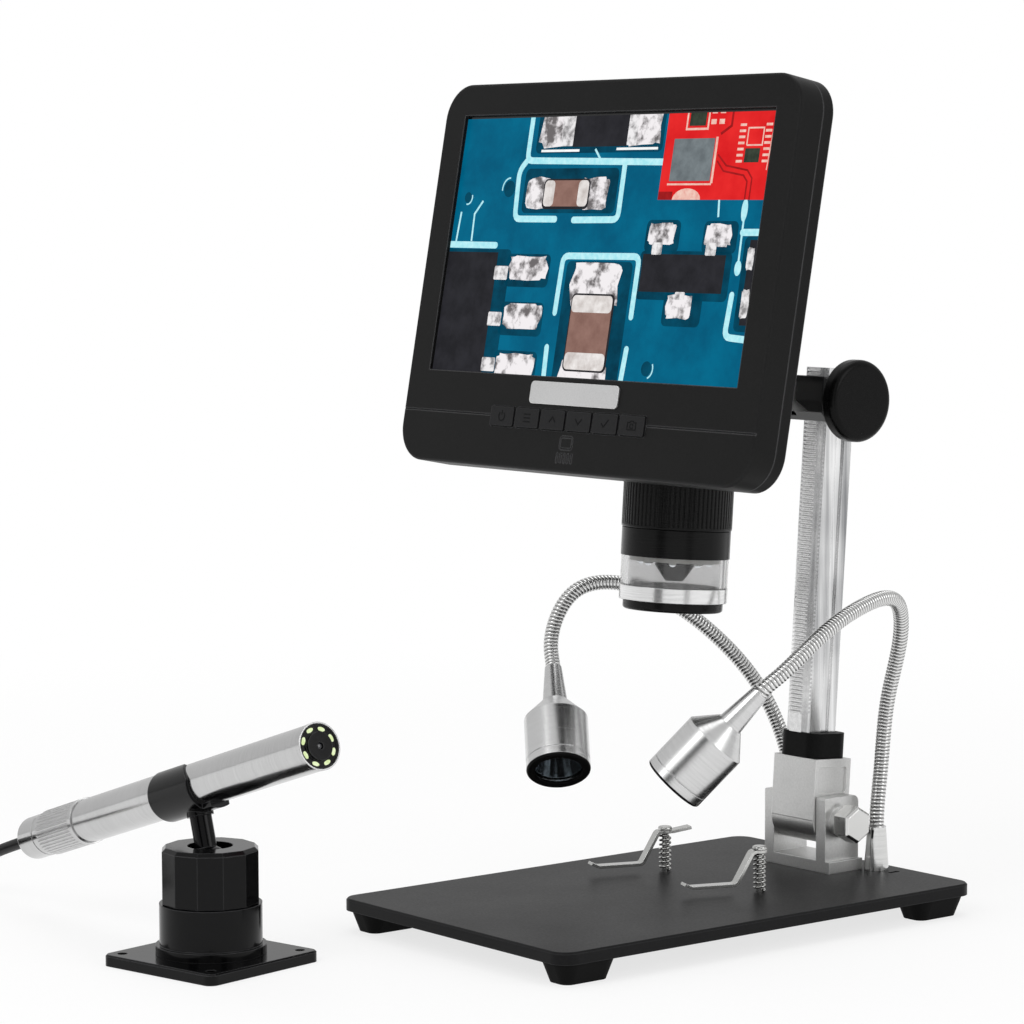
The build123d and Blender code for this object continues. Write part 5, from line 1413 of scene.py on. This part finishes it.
@dataclass
class ScreenUnit:
    """Housing, lit picture, keys and nameplate.

    Attributes:
        middle: Middle of the window on the front face.
        lean: Degrees that the screen leans back.
        window: Half width and half height of the window.
        glass: Depth of the panel's face behind the front face.
        key_first: Middle of the first key.
        key_pitch: Distance between keys.
        key_row: Height of the keys' middles.
        key_face: How far the keys stand out.
    """

    middle: Triple = (0.0, -28.0, 224.2)
    lean: float = 10.6
    window: Pair = (77.0, 43.25)
    glass: float = 1.5
    key_first: float = -34.0
    key_pitch: float = 13.07
    key_row: float = -57.3
    key_face: float = 0.6

    def place(self) -> Place:
        """Find the screen's front face.

        Returns:
            A frame on it: x to the right, y up the screen, z forward.
        """
        a = math.radians(self.lean)
        forward = Vector((0, -math.cos(a), math.sin(a)))
        return Place.facing(Vector(self.middle) * MM, forward, Vector((1, 0, 0)))

    def make_keys(self) -> None:
        """Print one plain sign on each key."""
        gap = 0.7  # half the open angle of the power sign's ring, in radians
        ring = arc(0, 0, 1.5, math.pi / 2 - gap, gap - 1.5 * math.pi, 18)
        body = [(-2.0, -1.3), (2.0, -1.3), (2.0, 1.0), (0.9, 1.0), (0.5, 1.5)]
        body += [(-0.5, 1.5), (-0.9, 1.0), (-2.0, 1.0), (-2.0, -1.3)]
        lens = arc(0, -0.15, 0.75, 0, 2 * math.pi - 0.3, 14)
        signs: dict[Mark, list[Outline]] = {
            Mark.POWER: [stroke(ring, 0.45), box(-0.22, 0.4, 0.22, 2.0)],
            Mark.MENU: [box(-1.7, y - 0.22, 1.7, y + 0.22) for y in (-1.2, 0.0, 1.2)],
            Mark.UP: [stroke([(-1.6, -0.8), (0.0, 0.9), (1.6, -0.8)], 0.5)],
            Mark.DOWN: [stroke([(-1.6, 0.8), (0.0, -0.9), (1.6, 0.8)], 0.5)],
            Mark.CONFIRM: [stroke([(-1.6, 0.1), (-0.5, -1.1), (1.7, 1.3)], 0.5)],
            Mark.PICTURE: [stroke(body, 0.4), stroke(lens, 0.35)],
        }
        screen = self.place()
        for mark, outlines in signs.items():
            x = self.key_first + self.key_pitch * (mark.value - 1)
            key = Place(screen.at(x, self.key_row, self.key_face), screen.x, screen.y, screen.z)
            shape = merged(*(slab(key, outline, -0.02, 0.05) for outline in outlines))
            add_piece(f"key_{mark.value}_sign", shape, KEY_INK, f"button_{mark.value}")

    def make(self) -> None:
        """Dress the housing and add the picture and the signs on the keys."""
        dress(TEXTURED_ABS, "front_bezel", "back_cover")
        dress(KEY_ABS, *(f"button_{mark.value}" for mark in Mark))
        dress(ROLLED_ALUMINIUM, "nameplate")
        dress(ZINC, "case_screws")
        dress(BLACK_LACQUER, "lcd_panel")
        dress(GREEN_BOARD, "circuit_boards")
        dress(SHRINK_FILM, "battery")
        self.make_keys()
        BoardPicture(self.place(), self.window, self.glass).make()


class Ink(Enum):
    """The colours of the picture.

    Each has its layer above the panel, the grain, blur and middle of its mottling,
    and its two tones. No two inks that overlap lie in one layer.
    """

    GROUND = (0, 14.0, 0.15, 0.5, "#00597a", "#006a8c")
    SHADE = (1, 9.0, 0.25, 0.5, "#002c3e", "#00516c")
    SILK = (2, 1.5, 0.15, 0.5, "#c4f4fa", "#a4e6f0")
    PAD = (3, 5.5, 0.07, 0.45, "#6e6a6b", "#f3eff1")
    BODY = (4, 6.0, 0.15, 0.5, "#232327", "#2d2d32")
    RED = (4, 12.0, 0.15, 0.5, "#d81c20", "#ea2b2b")
    CERAMIC = (5, 5.0, 0.15, 0.5, "#84635a", "#957369")
    TIN = (5, 3.0, 0.1, 0.47, "#8f8d8e", "#f0eeef")
    RED_TRACE = (5, 4.0, 0.15, 0.5, "#8e1719", "#a81d20")
    CAP = (6, 4.0, 0.2, 0.5, "#c4bcb8", "#f4f0ee")
    RED_LINE = (6, 2.0, 0.15, 0.5, "#f4d2c4", "#e8a89c")
    GREY = (7, 4.0, 0.15, 0.5, "#666e72", "#7a8387")
    DARK = (7, 2.0, 0.15, 0.5, "#2c352c", "#3c463a")
    GLINT = (7, 2.0, 0.15, 0.5, "#ffffff", "#eef6f6")


@dataclass
class BoardPicture:
    """The lit picture of a circuit board, seen large, in flat layers.

    Attributes:
        screen: Frame on the screen's front face.
        window: Half width and half height of the window.
        glass: Depth of the panel's face behind the front face.
        film: Thickness of one layer.
        margin: Dark edge of the panel above the picture.
        pads: Middle, half width and half height of each soldered pad.
        lugs: The same of the two small lugs at the right edge.
        capacitors: Middle, length and width of each ceramic part, and 1 where it stands upright.
        silk: Printed white lines with rounded bends and ends.
        silk_width: Their width.
        silk_bend: Distance from a corner at which their bend begins.
        ovals: Middle, half width and half height of the round white marks.
        vias: Middle and radius of each plated hole, and the degrees between which it shines.
        boxes: Square forms: their ink, the radius of their corners, and their sides.
        lines: Plain lines: their ink, their width, and their points.
    """

    screen: Place
    window: Pair
    glass: float
    film: float = 0.04
    margin: float = 0.9
    pads: Rows = (
        (-27.6, 38.6, 9.2, 6.4), (14.7, 38.6, 8.8, 6.4), (-33.6, -7.8, 9.8, 4.0), (-33.6, -23.9, 9.8, 4.3),
        (-33.6, -40.4, 9.8, 4.2), (30.6, 4.0, 6.4, 3.4), (57.4, 3.8, 6.0, 3.5), (43.3, -18.9, 5.8, 3.9),
    )
    lugs: Rows = ((73.4, -3.4, 1.6, 3.4), (73.6, -17.6, 1.8, 4.6))
    capacitors: Rows = ((-19.4, 16.9, 22.4, 8.6, 0), (1.6, -28.4, 24.2, 20.0, 1))
    silk: tuple[Rows, ...] = (
        ((-42.0, 46), (-42.0, 27.9), (27.0, 26.9)),
        ((-23.4, 8.4), (-44.4, 8.4), (-45.4, 24.6), (-42.0, 27.9)),
        ((-13.9, 8.2), (8.2, 8.4), (8.0, 27.2)),
        ((-16.7, -22.2), (-16.3, -3.6), (21.4, -3.4), (21.4, -22.7)),
        ((-18.3, -33.7), (-17.7, -46)),
        ((21.4, -33.1), (20.5, -46)),
        ((-80, -0.4), (-52.5, -0.5)),
        ((68.1, 4.7), (80, 4.8)),
        ((67.2, -14.8), (66.4, -27.8), (80, -28.6)),
    )
    silk_width: float = 2.2
    silk_bend: float = 2.6
    ovals: Rows = ((67.6, 11.6, 1.4, 3.6), (68.2, -6.4, 1.5, 2.4))
    vias: Rows = ((-71.0, 15.6, 1.8, -100, 20), (-49.4, 18.5, 2.8, 90, 190), (32.2, -38.9, 2.4, -70, 30))
    boxes: tuple[tuple[Ink, float, Rows], ...] = (
        (Ink.GROUND, 0.0, ((-77.0, -43.25, 77.0, 43.25),)),
        (Ink.SHADE, 2.0, (
            (-80, -46, -43.5, -1.8), (21.8, -17.0, 65.0, -1.4), (-38.4, 30.2, 25.0, 46), (69.8, -26, 80, 3.6),
            (-41.6, 10.4, 5.8, 25.2), (-13.8, -46, 18.8, -5.2), (36.0, -25.2, 54.0, -14),
            (-45, -14.2, -22.6, -3.2), (-45, -30.4, -22.6, -19.2), (-45, -46, -22.6, -35.4),
            (23.0, -2, 39.2, 8.4), (50.2, -2, 66.0, 8.2),
        )),
        (Ink.BODY, 0.0, (
            (-80, -45, -50.4, -2.9), (23.3, -14.5, 62.2, -2.5), (-19.5, 32.2, 7.5, 45), (72.4, -24, 80, 2.4),
        )),
        (Ink.TIN, 0.5, (
            (-51, -12.0, -44, -7.4), (-51, -27.4, -44, -22.8), (-51, -42.6, -44, -38.0),
            (27, -2.7, 31.8, 1.2), (52.4, -2.7, 57.2, 1.2), (41, -16.8, 45.6, -14.3),
        )),
        (Ink.TIN, 0.4, ((-25.6, 32.5, -19.5, 45), (7.5, 32.5, 12.2, 45))),
        (Ink.GLINT, 0.0, ((-35.1, 30.6, -15.6, 31.4), (3.0, 30.9, 23.2, 31.7))),
        (Ink.RED, 0.0, ((26.4, 14.8, 80, 45),)),
        (Ink.RED_TRACE, 0.0, ((26.4, 14.8, 33.0, 17.4),)),
        (Ink.GREY, 0.0, ((30.7, 20.7, 49.8, 34.2),)),
        (Ink.DARK, 0.0, ((64.3, 26.4, 71.0, 30.8), (36.8, 38.2, 44.4, 45))),
        (Ink.RED_LINE, 0.0, (
            (50.2, 20.0, 51.2, 34.6), (30.0, 19.4, 50.6, 20.0), (46.8, 42.0, 49.2, 43.6),
            (50.6, 42.0, 53.0, 43.6), (46.8, 38.6, 49.2, 40.2), (50.6, 38.6, 53.0, 40.2),
        )),
    )
    lines: tuple[tuple[Ink, float, Rows], ...] = (
        (Ink.SILK, 0.8, ((-62.5, 14.4), (-66.2, 10.0), (-65.9, 0.8))),
        (Ink.SILK, 0.8, ((-73.5, 10.7), (-74.2, 0.7))),
        (Ink.SILK, 0.8, ((55.3, 15), (56.0, 9.4))),
        (Ink.SILK, 0.8, ((67.7, 14), (68.2, -8))),
        (Ink.SILK, 0.8, ((-7.8, 31.4), (-4.0, 27.5))),
        (Ink.RED_TRACE, 0.6, ((52.0, 29.0), (56.5, 25.5), (66.5, 24.0), (69.0, 21.5), (69.0, 14.8))),
        (Ink.RED_TRACE, 0.6, ((52.0, 27.0), (55.5, 23.8), (65.0, 22.4), (67.0, 20.5), (67.0, 14.8))),
        (Ink.RED_TRACE, 0.9, ((52.0, 35.5), (56.5, 38.0), (56.5, 45))),
        (Ink.RED_LINE, 0.7, ((35.6, 45), (35.6, 37.2), (45.6, 37.2), (45.6, 45))),
        (Ink.RED_LINE, 0.5, ((64.6, 31.8), (71.6, 31.8), (71.6, 37.2), (64.6, 37.2), (64.6, 31.8))),
        (Ink.RED_LINE, 0.4, ((76.4, 45), (75.0, 24.0))),
    )

    def clipped(self, outline: Outline) -> Outline:
        """Cut an outline to the window's rectangle.

        Args:
            outline: Corners of a shape that may reach past the window.

        Returns:
            Corners of the part inside, or none.
        """
        half_width, half_height = self.window
        top = half_height - self.margin
        limits = ((0, 1, half_width), (0, -1, half_width), (1, 1, top), (1, -1, half_height))
        for axis, sign, limit in limits:
            kept: Outline = []
            for here, there in zip(outline, outline[1:] + outline[:1]):
                a, b = sign * here[axis] - limit, sign * there[axis] - limit
                if a <= 0:
                    kept.append(here)
                if (a < 0 < b) or (b < 0 < a):
                    t = a / (a - b)
                    kept.append((here[0] + (there[0] - here[0]) * t, here[1] + (there[1] - here[1]) * t))
            outline = kept
            if len(outline) < 3:
                return []
        return outline

    def solder(self, x: float, y: float, half_width: float, half_height: float, seed: int) -> Outline:
        """Draw the uneven edge of a soldered pad.

        Args:
            x: Middle across.
            y: Middle up.
            half_width: Half its width.
            half_height: Half its height.
            seed: Seed of its unevenness.

        Returns:
            Corners of the pad.
        """
        chance = random.Random(seed)
        points = []
        for i in range(20):
            u, v = squarish(2 * math.pi * i / 20, 0.35)
            swell = 1 + chance.uniform(-0.1, 0.08)
            points.append((x + u * half_width * swell, y + v * half_height * swell))
        return points

    def capacitor(
        self, x: float, y: float, length: float, width: float, upright: int
    ) -> dict[Ink, list[Outline]]:
        """Draw a ceramic capacitor between two soldered pads.

        Args:
            x: Middle across.
            y: Middle up.
            length: Its length.
            width: Its width.
            upright: 1 where its length runs up the screen, and 0 where it runs across.

        Returns:
            Outlines of its parts by ink.
        """
        half, side, end = length / 2, width / 2, length * 0.23
        inner, reach = half - end * 0.8, half + end * 0.6
        pad = (end * 1.3, side * 1.22)
        parts = {
            Ink.PAD: [self.solder(s * reach, 0, *pad, int(s * 3 + length)) for s in (-1, 1)],
            Ink.BODY: [box(-half - 0.6, -side - 0.9, half + 0.6, side + 0.5, end * 0.35)],
            Ink.CERAMIC: [box(-inner, -side, inner, side)],
            Ink.CAP: [box(x0, -side, x0 + end, side, end * 0.3) for x0 in (-half, half - end)],
        }
        placed: dict[Ink, list[Outline]] = {}
        for ink, outlines in parts.items():
            placed[ink] = []
            for part in outlines:
                placed[ink].append([(x - v, y + u) if upright else (x + u, y + v) for u, v in part])
        return placed

    def layout(self) -> dict[Ink, list[Outline]]:
        """Lay out the board: two capacitors, three chips and an inset of a red board.

        Returns:
            For each ink its outlines, from the window's middle.
        """
        drawn: dict[Ink, list[Outline]] = {ink: [] for ink in Ink}
        for ink, corner, forms in self.boxes:
            drawn[ink] += [box(*sides, corner) for sides in forms]
        for ink, width, path in self.lines:
            drawn[ink].append(stroke(path, width))
        for path in self.silk:
            drawn[Ink.SILK].append(stroke(eased(path, self.silk_bend), self.silk_width))
            drawn[Ink.SILK] += [circle(x, y, self.silk_width / 2, 16) for x, y in (path[0], path[-1])]
        drawn[Ink.SILK] += [ellipse(*oval) for oval in self.ovals]
        for x, y, r, first, last in self.vias:
            drawn[Ink.SHADE].append(circle(x, y, r))
            shine = arc(x, y, r * 1.3, math.radians(first), math.radians(last), 9)
            drawn[Ink.SILK].append(stroke(shine, 0.5))
        for capacitor in self.capacitors:
            for ink, outlines in self.capacitor(*capacitor).items():
                drawn[ink] += outlines
        drawn[Ink.PAD] += [self.solder(*pad, 20 + number) for number, pad in enumerate(self.pads)]
        drawn[Ink.TIN] += [self.solder(*lug, 51 + number) for number, lug in enumerate(self.lugs)]
        drawn[Ink.RED_LINE].append(ellipse(39.9, 14.8, 6.6, 3.6, 28)[:15])
        for y in np.arange(26.4, 38.0, 1.9):
            drawn[Ink.RED_LINE] += [box(x, y, x + 2.8, y + 0.8) for x in (60.6, 72.4)]
        return drawn

    def make(self) -> None:
        """Make one thin piece for each colour, in front of the panel."""
        for ink, outlines in self.layout().items():
            layer, mottle, blur, middle, first, second = ink.value
            low = layer * self.film - self.glass
            kept = [part for part in (self.clipped(outline) for outline in outlines) if part]
            shapes = [slab(self.screen, part, low, low + self.film) for part in kept]
            name = ink.name.lower()
            finish = Lit(f"panel_{name}", first, 0.35, second=second, grain=mottle, blur=blur, middle=middle)
            add_piece(f"picture_{name}", merged(*shapes), finish, "carriage", 10.0)


# --------------------------------------------------------------- lens unit
@dataclass
class LensUnit:
    """Black barrel, knurled ring, clear shade and the ring of chips.

    Attributes:
        foot: A point of the column's frame, at its pivot.
        lean: Degrees that the column leans back.
        ahead: From the pivot to the barrel's axis.
        board: Height of the board of chips on the column.
        band: Lower and upper edge of the shade's bright band.
        band_radii: Inner and outer radius of that band.
        chip_circle: Radius of the ring of chips.
        chips: Number of chips.
        dome: Radius, and drop below the board, of each ring of a chip's dome.
    """

    foot: Triple = (0.0, 68.0, 28.0)
    lean: float = 4.0
    ahead: float = 67.7
    board: float = 87.4
    band: Pair = (74.4, 79.2)
    band_radii: Pair = (17.6, 17.9)
    chip_circle: float = 11.2
    chips: int = 8
    dome: Rows = ((1.0, 0.6), (0.95, 0.95), (0.7, 1.25), (0.3, 1.4))

    def place(self) -> Place:
        """Find the barrel's axis, level with the pivot.

        Returns:
            A frame on it: z runs up.
        """
        a = math.radians(self.lean)
        up = Vector((0, math.sin(a), math.cos(a)))
        back = Vector((0, math.cos(a), -math.sin(a)))
        return Place.facing((Vector(self.foot) - back * self.ahead) * MM, up, Vector((1, 0, 0)))

    def make_chips(self) -> None:
        """Put a small dome on each chip under the shade's board."""
        barrel = self.place()
        domes = []
        for number in range(self.chips):
            a = 2 * math.pi * number / self.chips
            x, y = self.chip_circle * math.cos(a), self.chip_circle * math.sin(a)
            rings = [barrel.ring(circle(x, y, r, 16)[::-1], self.board - drop) for r, drop in self.dome]
            domes.append(loft(rings))
        add_piece("ring_chip_domes", merged(*domes), RING_CHIP, "carriage", 60.0)

    def make_band(self) -> None:
        """Wrap the bright band round the foot of the shade."""
        low, high = self.band
        inner, outer = self.band_radii
        section = [(inner, low), (outer, low + 0.1), (outer, high - 0.1), (inner, high)]
        shape = lathe(self.place(), section, 96)
        add_piece("shade_band", shape, POLISHED_BAND, "carriage")

    def make(self) -> None:
        """Dress the barrel, light the ring and band the shade."""
        dress(BLACK_ANODISED, "lens_barrel", "focus_ring", "bottom_ring", "lens_carrier")
        dress(HAZY_PMMA, "shade_ring")
        dress(WHITE_BOARD, "led_ring")
        dress(COATED_GLASS, "objective_lenses")
        self.make_chips()
        self.make_band()


# -------------------------------------------------------------------- lamps
@dataclass
class Lamp:
    """A lamp on a wound hose that stands in a socket of the base plate.

    Attributes:
        side: left or right.
        root: Where the hose stands, in the plate's plane.
        bends: Points that the hose passes through.
        rear: Where the lamp's head begins.
        axis: Direction that the lamp shines in.
        socket_top: Height of the socket's mouth, where the hose begins to show.
        spigot_foot: Height of the hose's end inside the socket.
        ferrule: How far the hose runs into the head.
        hose_radius: Radius of the hose over its crowns.
        groove_depth: Depth of the groove between two turns of wire.
        wire_pitch: Distance between turns of wire.
        rings_per_wire: Rings of points along one turn of wire.
        sides: Points around the hose.
        bowl: Radii and heights of the reflector's small and wide end, from the head's back.
    """

    side: str
    root: Pair
    bends: Rows
    rear: Triple
    axis: Triple
    socket_top: float = 26.1
    spigot_foot: float = 14.0
    ferrule: float = 3.0
    hose_radius: float = 2.6
    groove_depth: float = 0.42
    wire_pitch: float = 1.25
    rings_per_wire: int = 6
    sides: int = 20
    bowl: Quad = (2.3, 8.2, 26.0, 37.6)

    def place(self) -> Place:
        """Frame at the back of the head: z runs the way that the lamp shines."""
        return Place.facing(Vector(self.rear) * MM, Vector(self.axis), Vector((0, 0, 1)))

    def hose_line(self, spacing: float) -> list[Vector]:
        """Draw the hose's middle, straight up out of its socket and straight into the head.

        Args:
            spacing: Distance between the points, in millimetres.

        Returns:
            Points in metres.
        """
        fine = 0.1  # distance between points before they are spaced out
        knots = np.array([(*self.root, self.socket_top), *self.bends, self.rear], float)
        gaps = np.linalg.norm(np.diff(knots, axis=0), axis=1)
        slopes = np.diff(knots, axis=0) / gaps[:, None]
        count = len(knots)
        system = np.zeros((count, count))
        wanted = np.zeros((count, 3))
        system[0, 0] = system[-1, -1] = 1
        wanted[0] = (0, 0, 1)
        wanted[-1] = Vector(self.axis).normalized()
        for i in range(1, count - 1):
            system[i, i - 1 : i + 2] = gaps[i], 2 * (gaps[i - 1] + gaps[i]), gaps[i - 1]
            wanted[i] = 3 * (gaps[i] * slopes[i - 1] + gaps[i - 1] * slopes[i])
        tangents = np.linalg.solve(system, wanted)
        dense = []
        for i, gap in enumerate(gaps):
            for t in np.arange(0, 1, fine / gap):
                dense.append(
                    knots[i] * (2 * t**3 - 3 * t**2 + 1)
                    + knots[i + 1] * (3 * t**2 - 2 * t**3)
                    + tangents[i] * gap * (t**3 - 2 * t**2 + t)
                    + tangents[i + 1] * gap * (t**3 - t**2)
                )
        foot = np.array([(*self.root, z) for z in np.arange(self.spigot_foot, self.socket_top, fine)])
        into = np.array([knots[-1] + wanted[-1] * t for t in np.arange(0, self.ferrule, fine)])
        whole = np.vstack([foot, dense, into])
        travelled = np.concatenate([[0], np.cumsum(np.linalg.norm(np.diff(whole, axis=0), axis=1))])
        stops = np.arange(0, travelled[-1], spacing)
        return [Vector([np.interp(s, travelled, whole[:, k]) for k in range(3)]) * MM for s in stops]

    def make_hose(self) -> None:
        """Wind the hose, with a rounded crown on each wire and a groove between."""
        spacing = self.wire_pitch / self.rings_per_wire
        line = self.hose_line(spacing)
        plain = int((self.socket_top - self.spigot_foot - 0.6) / spacing)  # rings hidden in the socket

        def depth(ring: int, angle: float) -> float:
            """Share of the groove's depth at an angle of a ring.

            Args:
                ring: Number of the ring, from the hose's foot.
                angle: Angle around it, in radians.

            Returns:
                0 on a crown, and 1 at the bottom of a groove.
            """
            if ring < plain:
                return 0.35
            turns = ring / self.rings_per_wire - angle / (2 * math.pi)
            return 1 - abs(math.sin(math.pi * turns)) ** 0.7

        def radius(ring: int, angle: float) -> float:
            """Radius of the hose at an angle of a ring, in metres."""
            return (self.hose_radius - self.groove_depth * depth(ring, angle)) * MM

        shape = tube(line, radius, self.sides, Vector((1, 0, 0)))
        body = f"{self.side}_lamp"
        hose = add_piece(f"{self.side}_wound_hose", shape, HOSE_STEEL, body, 80.0)
        deep = hose.data.attributes.new(HOSE_STEEL.attribute, "FLOAT", "POINT")
        angles = [2 * math.pi * step / self.sides for step in range(self.sides)]
        deep.data.foreach_set("value", [depth(ring, a) for ring in range(len(line)) for a in angles])
        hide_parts(f"{self.side}_gooseneck")

    def make_optics(self) -> None:
        """Build the faceted reflector and the chip at its bottom."""
        small, wide, back, front = self.bowl
        shares = np.linspace(0.0, 1.0, 8)
        inner = [(small + (wide - small) * math.sqrt(t), back + (front - back) * t) for t in shares]
        outer = [(r + 0.35, z - 0.35) for r, z in reversed(inner)]
        base = [(0.02, 24.05), (3.6, 24.05), (3.6, 25.2), (0.02, 25.2)]
        dome = [(0.02, 25.1), (2.0, 25.1), (1.9, 25.9), (1.4, 26.6), (0.7, 27.0), (0.02, 27.1)]
        sections = (
            ("reflector", inner + outer, 20, MIRROR_COAT, "lamp_silver", 5.0),
            ("chip_base", base, 6, WHITE_BOARD, "led_board", 20.0),
            ("chip", dome, 24, PHOSPHOR, "led_board", 60.0),
        )
        for name, section, steps, finish, slot, smooth in sections:
            shape = lathe(self.place(), section, steps)
            add_piece(f"{self.side}_{name}", shape, finish, f"{self.side}_lamp", smooth)

    def make(self) -> None:
        """Dress the lamp, wind its hose and build its optics."""
        dress(TURNED_LAMP[self.side], f"{self.side}_lamp_head")
        dress(FILLED_NYLON, f"{self.side}_lamp_bezel")
        dress(LAMP_GLASS, f"{self.side}_lamp_lens")
        self.make_hose()
        self.make_optics()


LAMPS = (
    Lamp(
        "left",
        (-20.5, 79.75),
        (
            (-21.0, 74.3, 53.0), (-24.5, 67.0, 69.9), (-31.0, 52.8, 88.1), (-39.0, 31.7, 103.7),
            (-43.0, 19.1, 108.0), (-47.5, 3.8, 106.2), (-49.0, -4.2, 96.2), (-47.3, -7.5, 86.2),
        ),
        (-44.5, -8.9, 81.0),
        (0.539, -0.387, -0.748),
    ),
    Lamp(
        "right",
        (20.5, 79.75),
        (
            (21.2, 80.9, 45.7), (26.0, 79.4, 70.8), (34.0, 77.1, 92.4), (40.0, 69.4, 104.9),
            (45.5, 48.4, 105.8), (49.2, 22.5, 95.9), (47.8, 7.7, 85.6),
        ),
        (45.8, 2.7, 81.4),
        (-0.477, -0.487, -0.731),
    ),
)


# --------------------------------------------------------------- base, column
@dataclass
class ClipSpring:
    """The wound spring under a clip.

    Attributes:
        side: left or right.
        wire: Half the wire's thickness.
        radius: From the post's axis to the middle of the wire.
        turns: Number of turns.
        points_per_turn: Points along the wire in one turn.
        travel: How far the clip is pressed. It is not used.
    """

    side: str
    wire: float = 0.4
    radius: float = 1.75
    turns: int = 8
    points_per_turn: int = 24
    travel: float = 2.0

    def make(self) -> None:
        """Wind the spring where the plain one stands."""
        low, high = (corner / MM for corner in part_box(f"{self.side}_clip_spring"))
        middle = (low + high) / 2
        foot, head = low.z + self.wire, high.z - self.wire
        line = []
        for t in np.linspace(0, 1, self.turns * self.points_per_turn + 1):
            a = 2 * math.pi * self.turns * t
            x, y = self.radius * math.cos(a), self.radius * math.sin(a)
            line.append(Vector((middle.x + x, middle.y + y, foot + (head - foot) * t)) * MM)
        shape = tube(line, self.wire * MM, 10, Vector((1, 0, 0)))
        swivel = f"{self.side}_clip_swivel"
        spring = add_piece(f"{self.side}_wound_spring", shape, SPRING_STEEL, swivel, 80.0)
        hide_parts(f"{self.side}_clip_spring")
        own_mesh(spring)


@dataclass
class BasePlate:
    """Coated plate with feet, screws, lamp sockets and the spring clips."""

    def make(self) -> None:
        """Dress the plate and what stands on it, and wind the clips' springs."""
        dress(POWDER_COAT, "base_plate")
        dress(RUBBER, "feet")
        dress(ZINC, "base_screws")
        dress(TURNED_CHROME, "lamp_sockets")
        dress(SPRING_STEEL, "clip_posts")
        for side in ("left", "right"):
            dress(SPRING_STEEL, f"{side}_clip_spring", f"{side}_clip_arm")
            ClipSpring(side).make()


@dataclass
class FocusColumn:
    """Bracket, column, rack, slider and knobs."""

    def make(self) -> None:
        """Dress the column and its drive."""
        dress(BLASTED_ALUMINIUM, "hinge_bracket", "column_foot", "arm")
        dress(BRIGHT_PLATE, "pivot_bolt")
        dress(EXTRUDED_ALUMINIUM, "column")
        dress(MILLED_STEEL, "rack", "pinion_shaft")
        dress(FILLED_NYLON, "column_collar")
        dress(BLACK_LACQUER, "slider")
        dress(PHENOLIC, "focus_knob_left", "focus_knob_right")


def main() -> None:
    """Build the studio, the cord and every sub-assembly, and log each as it is done."""
    logging.basicConfig(level=logging.INFO, format="%(name)s: %(message)s")
    Studio().make()
    CameraCord().make()
    for part in (BasePlate(), FocusColumn(), ScreenUnit(), LensUnit(), *LAMPS, TubeCamera(), TubeStand()):
        part.make()
        log.info("%s is done", type(part).__name__)


if __name__ == "__main__":
    main()
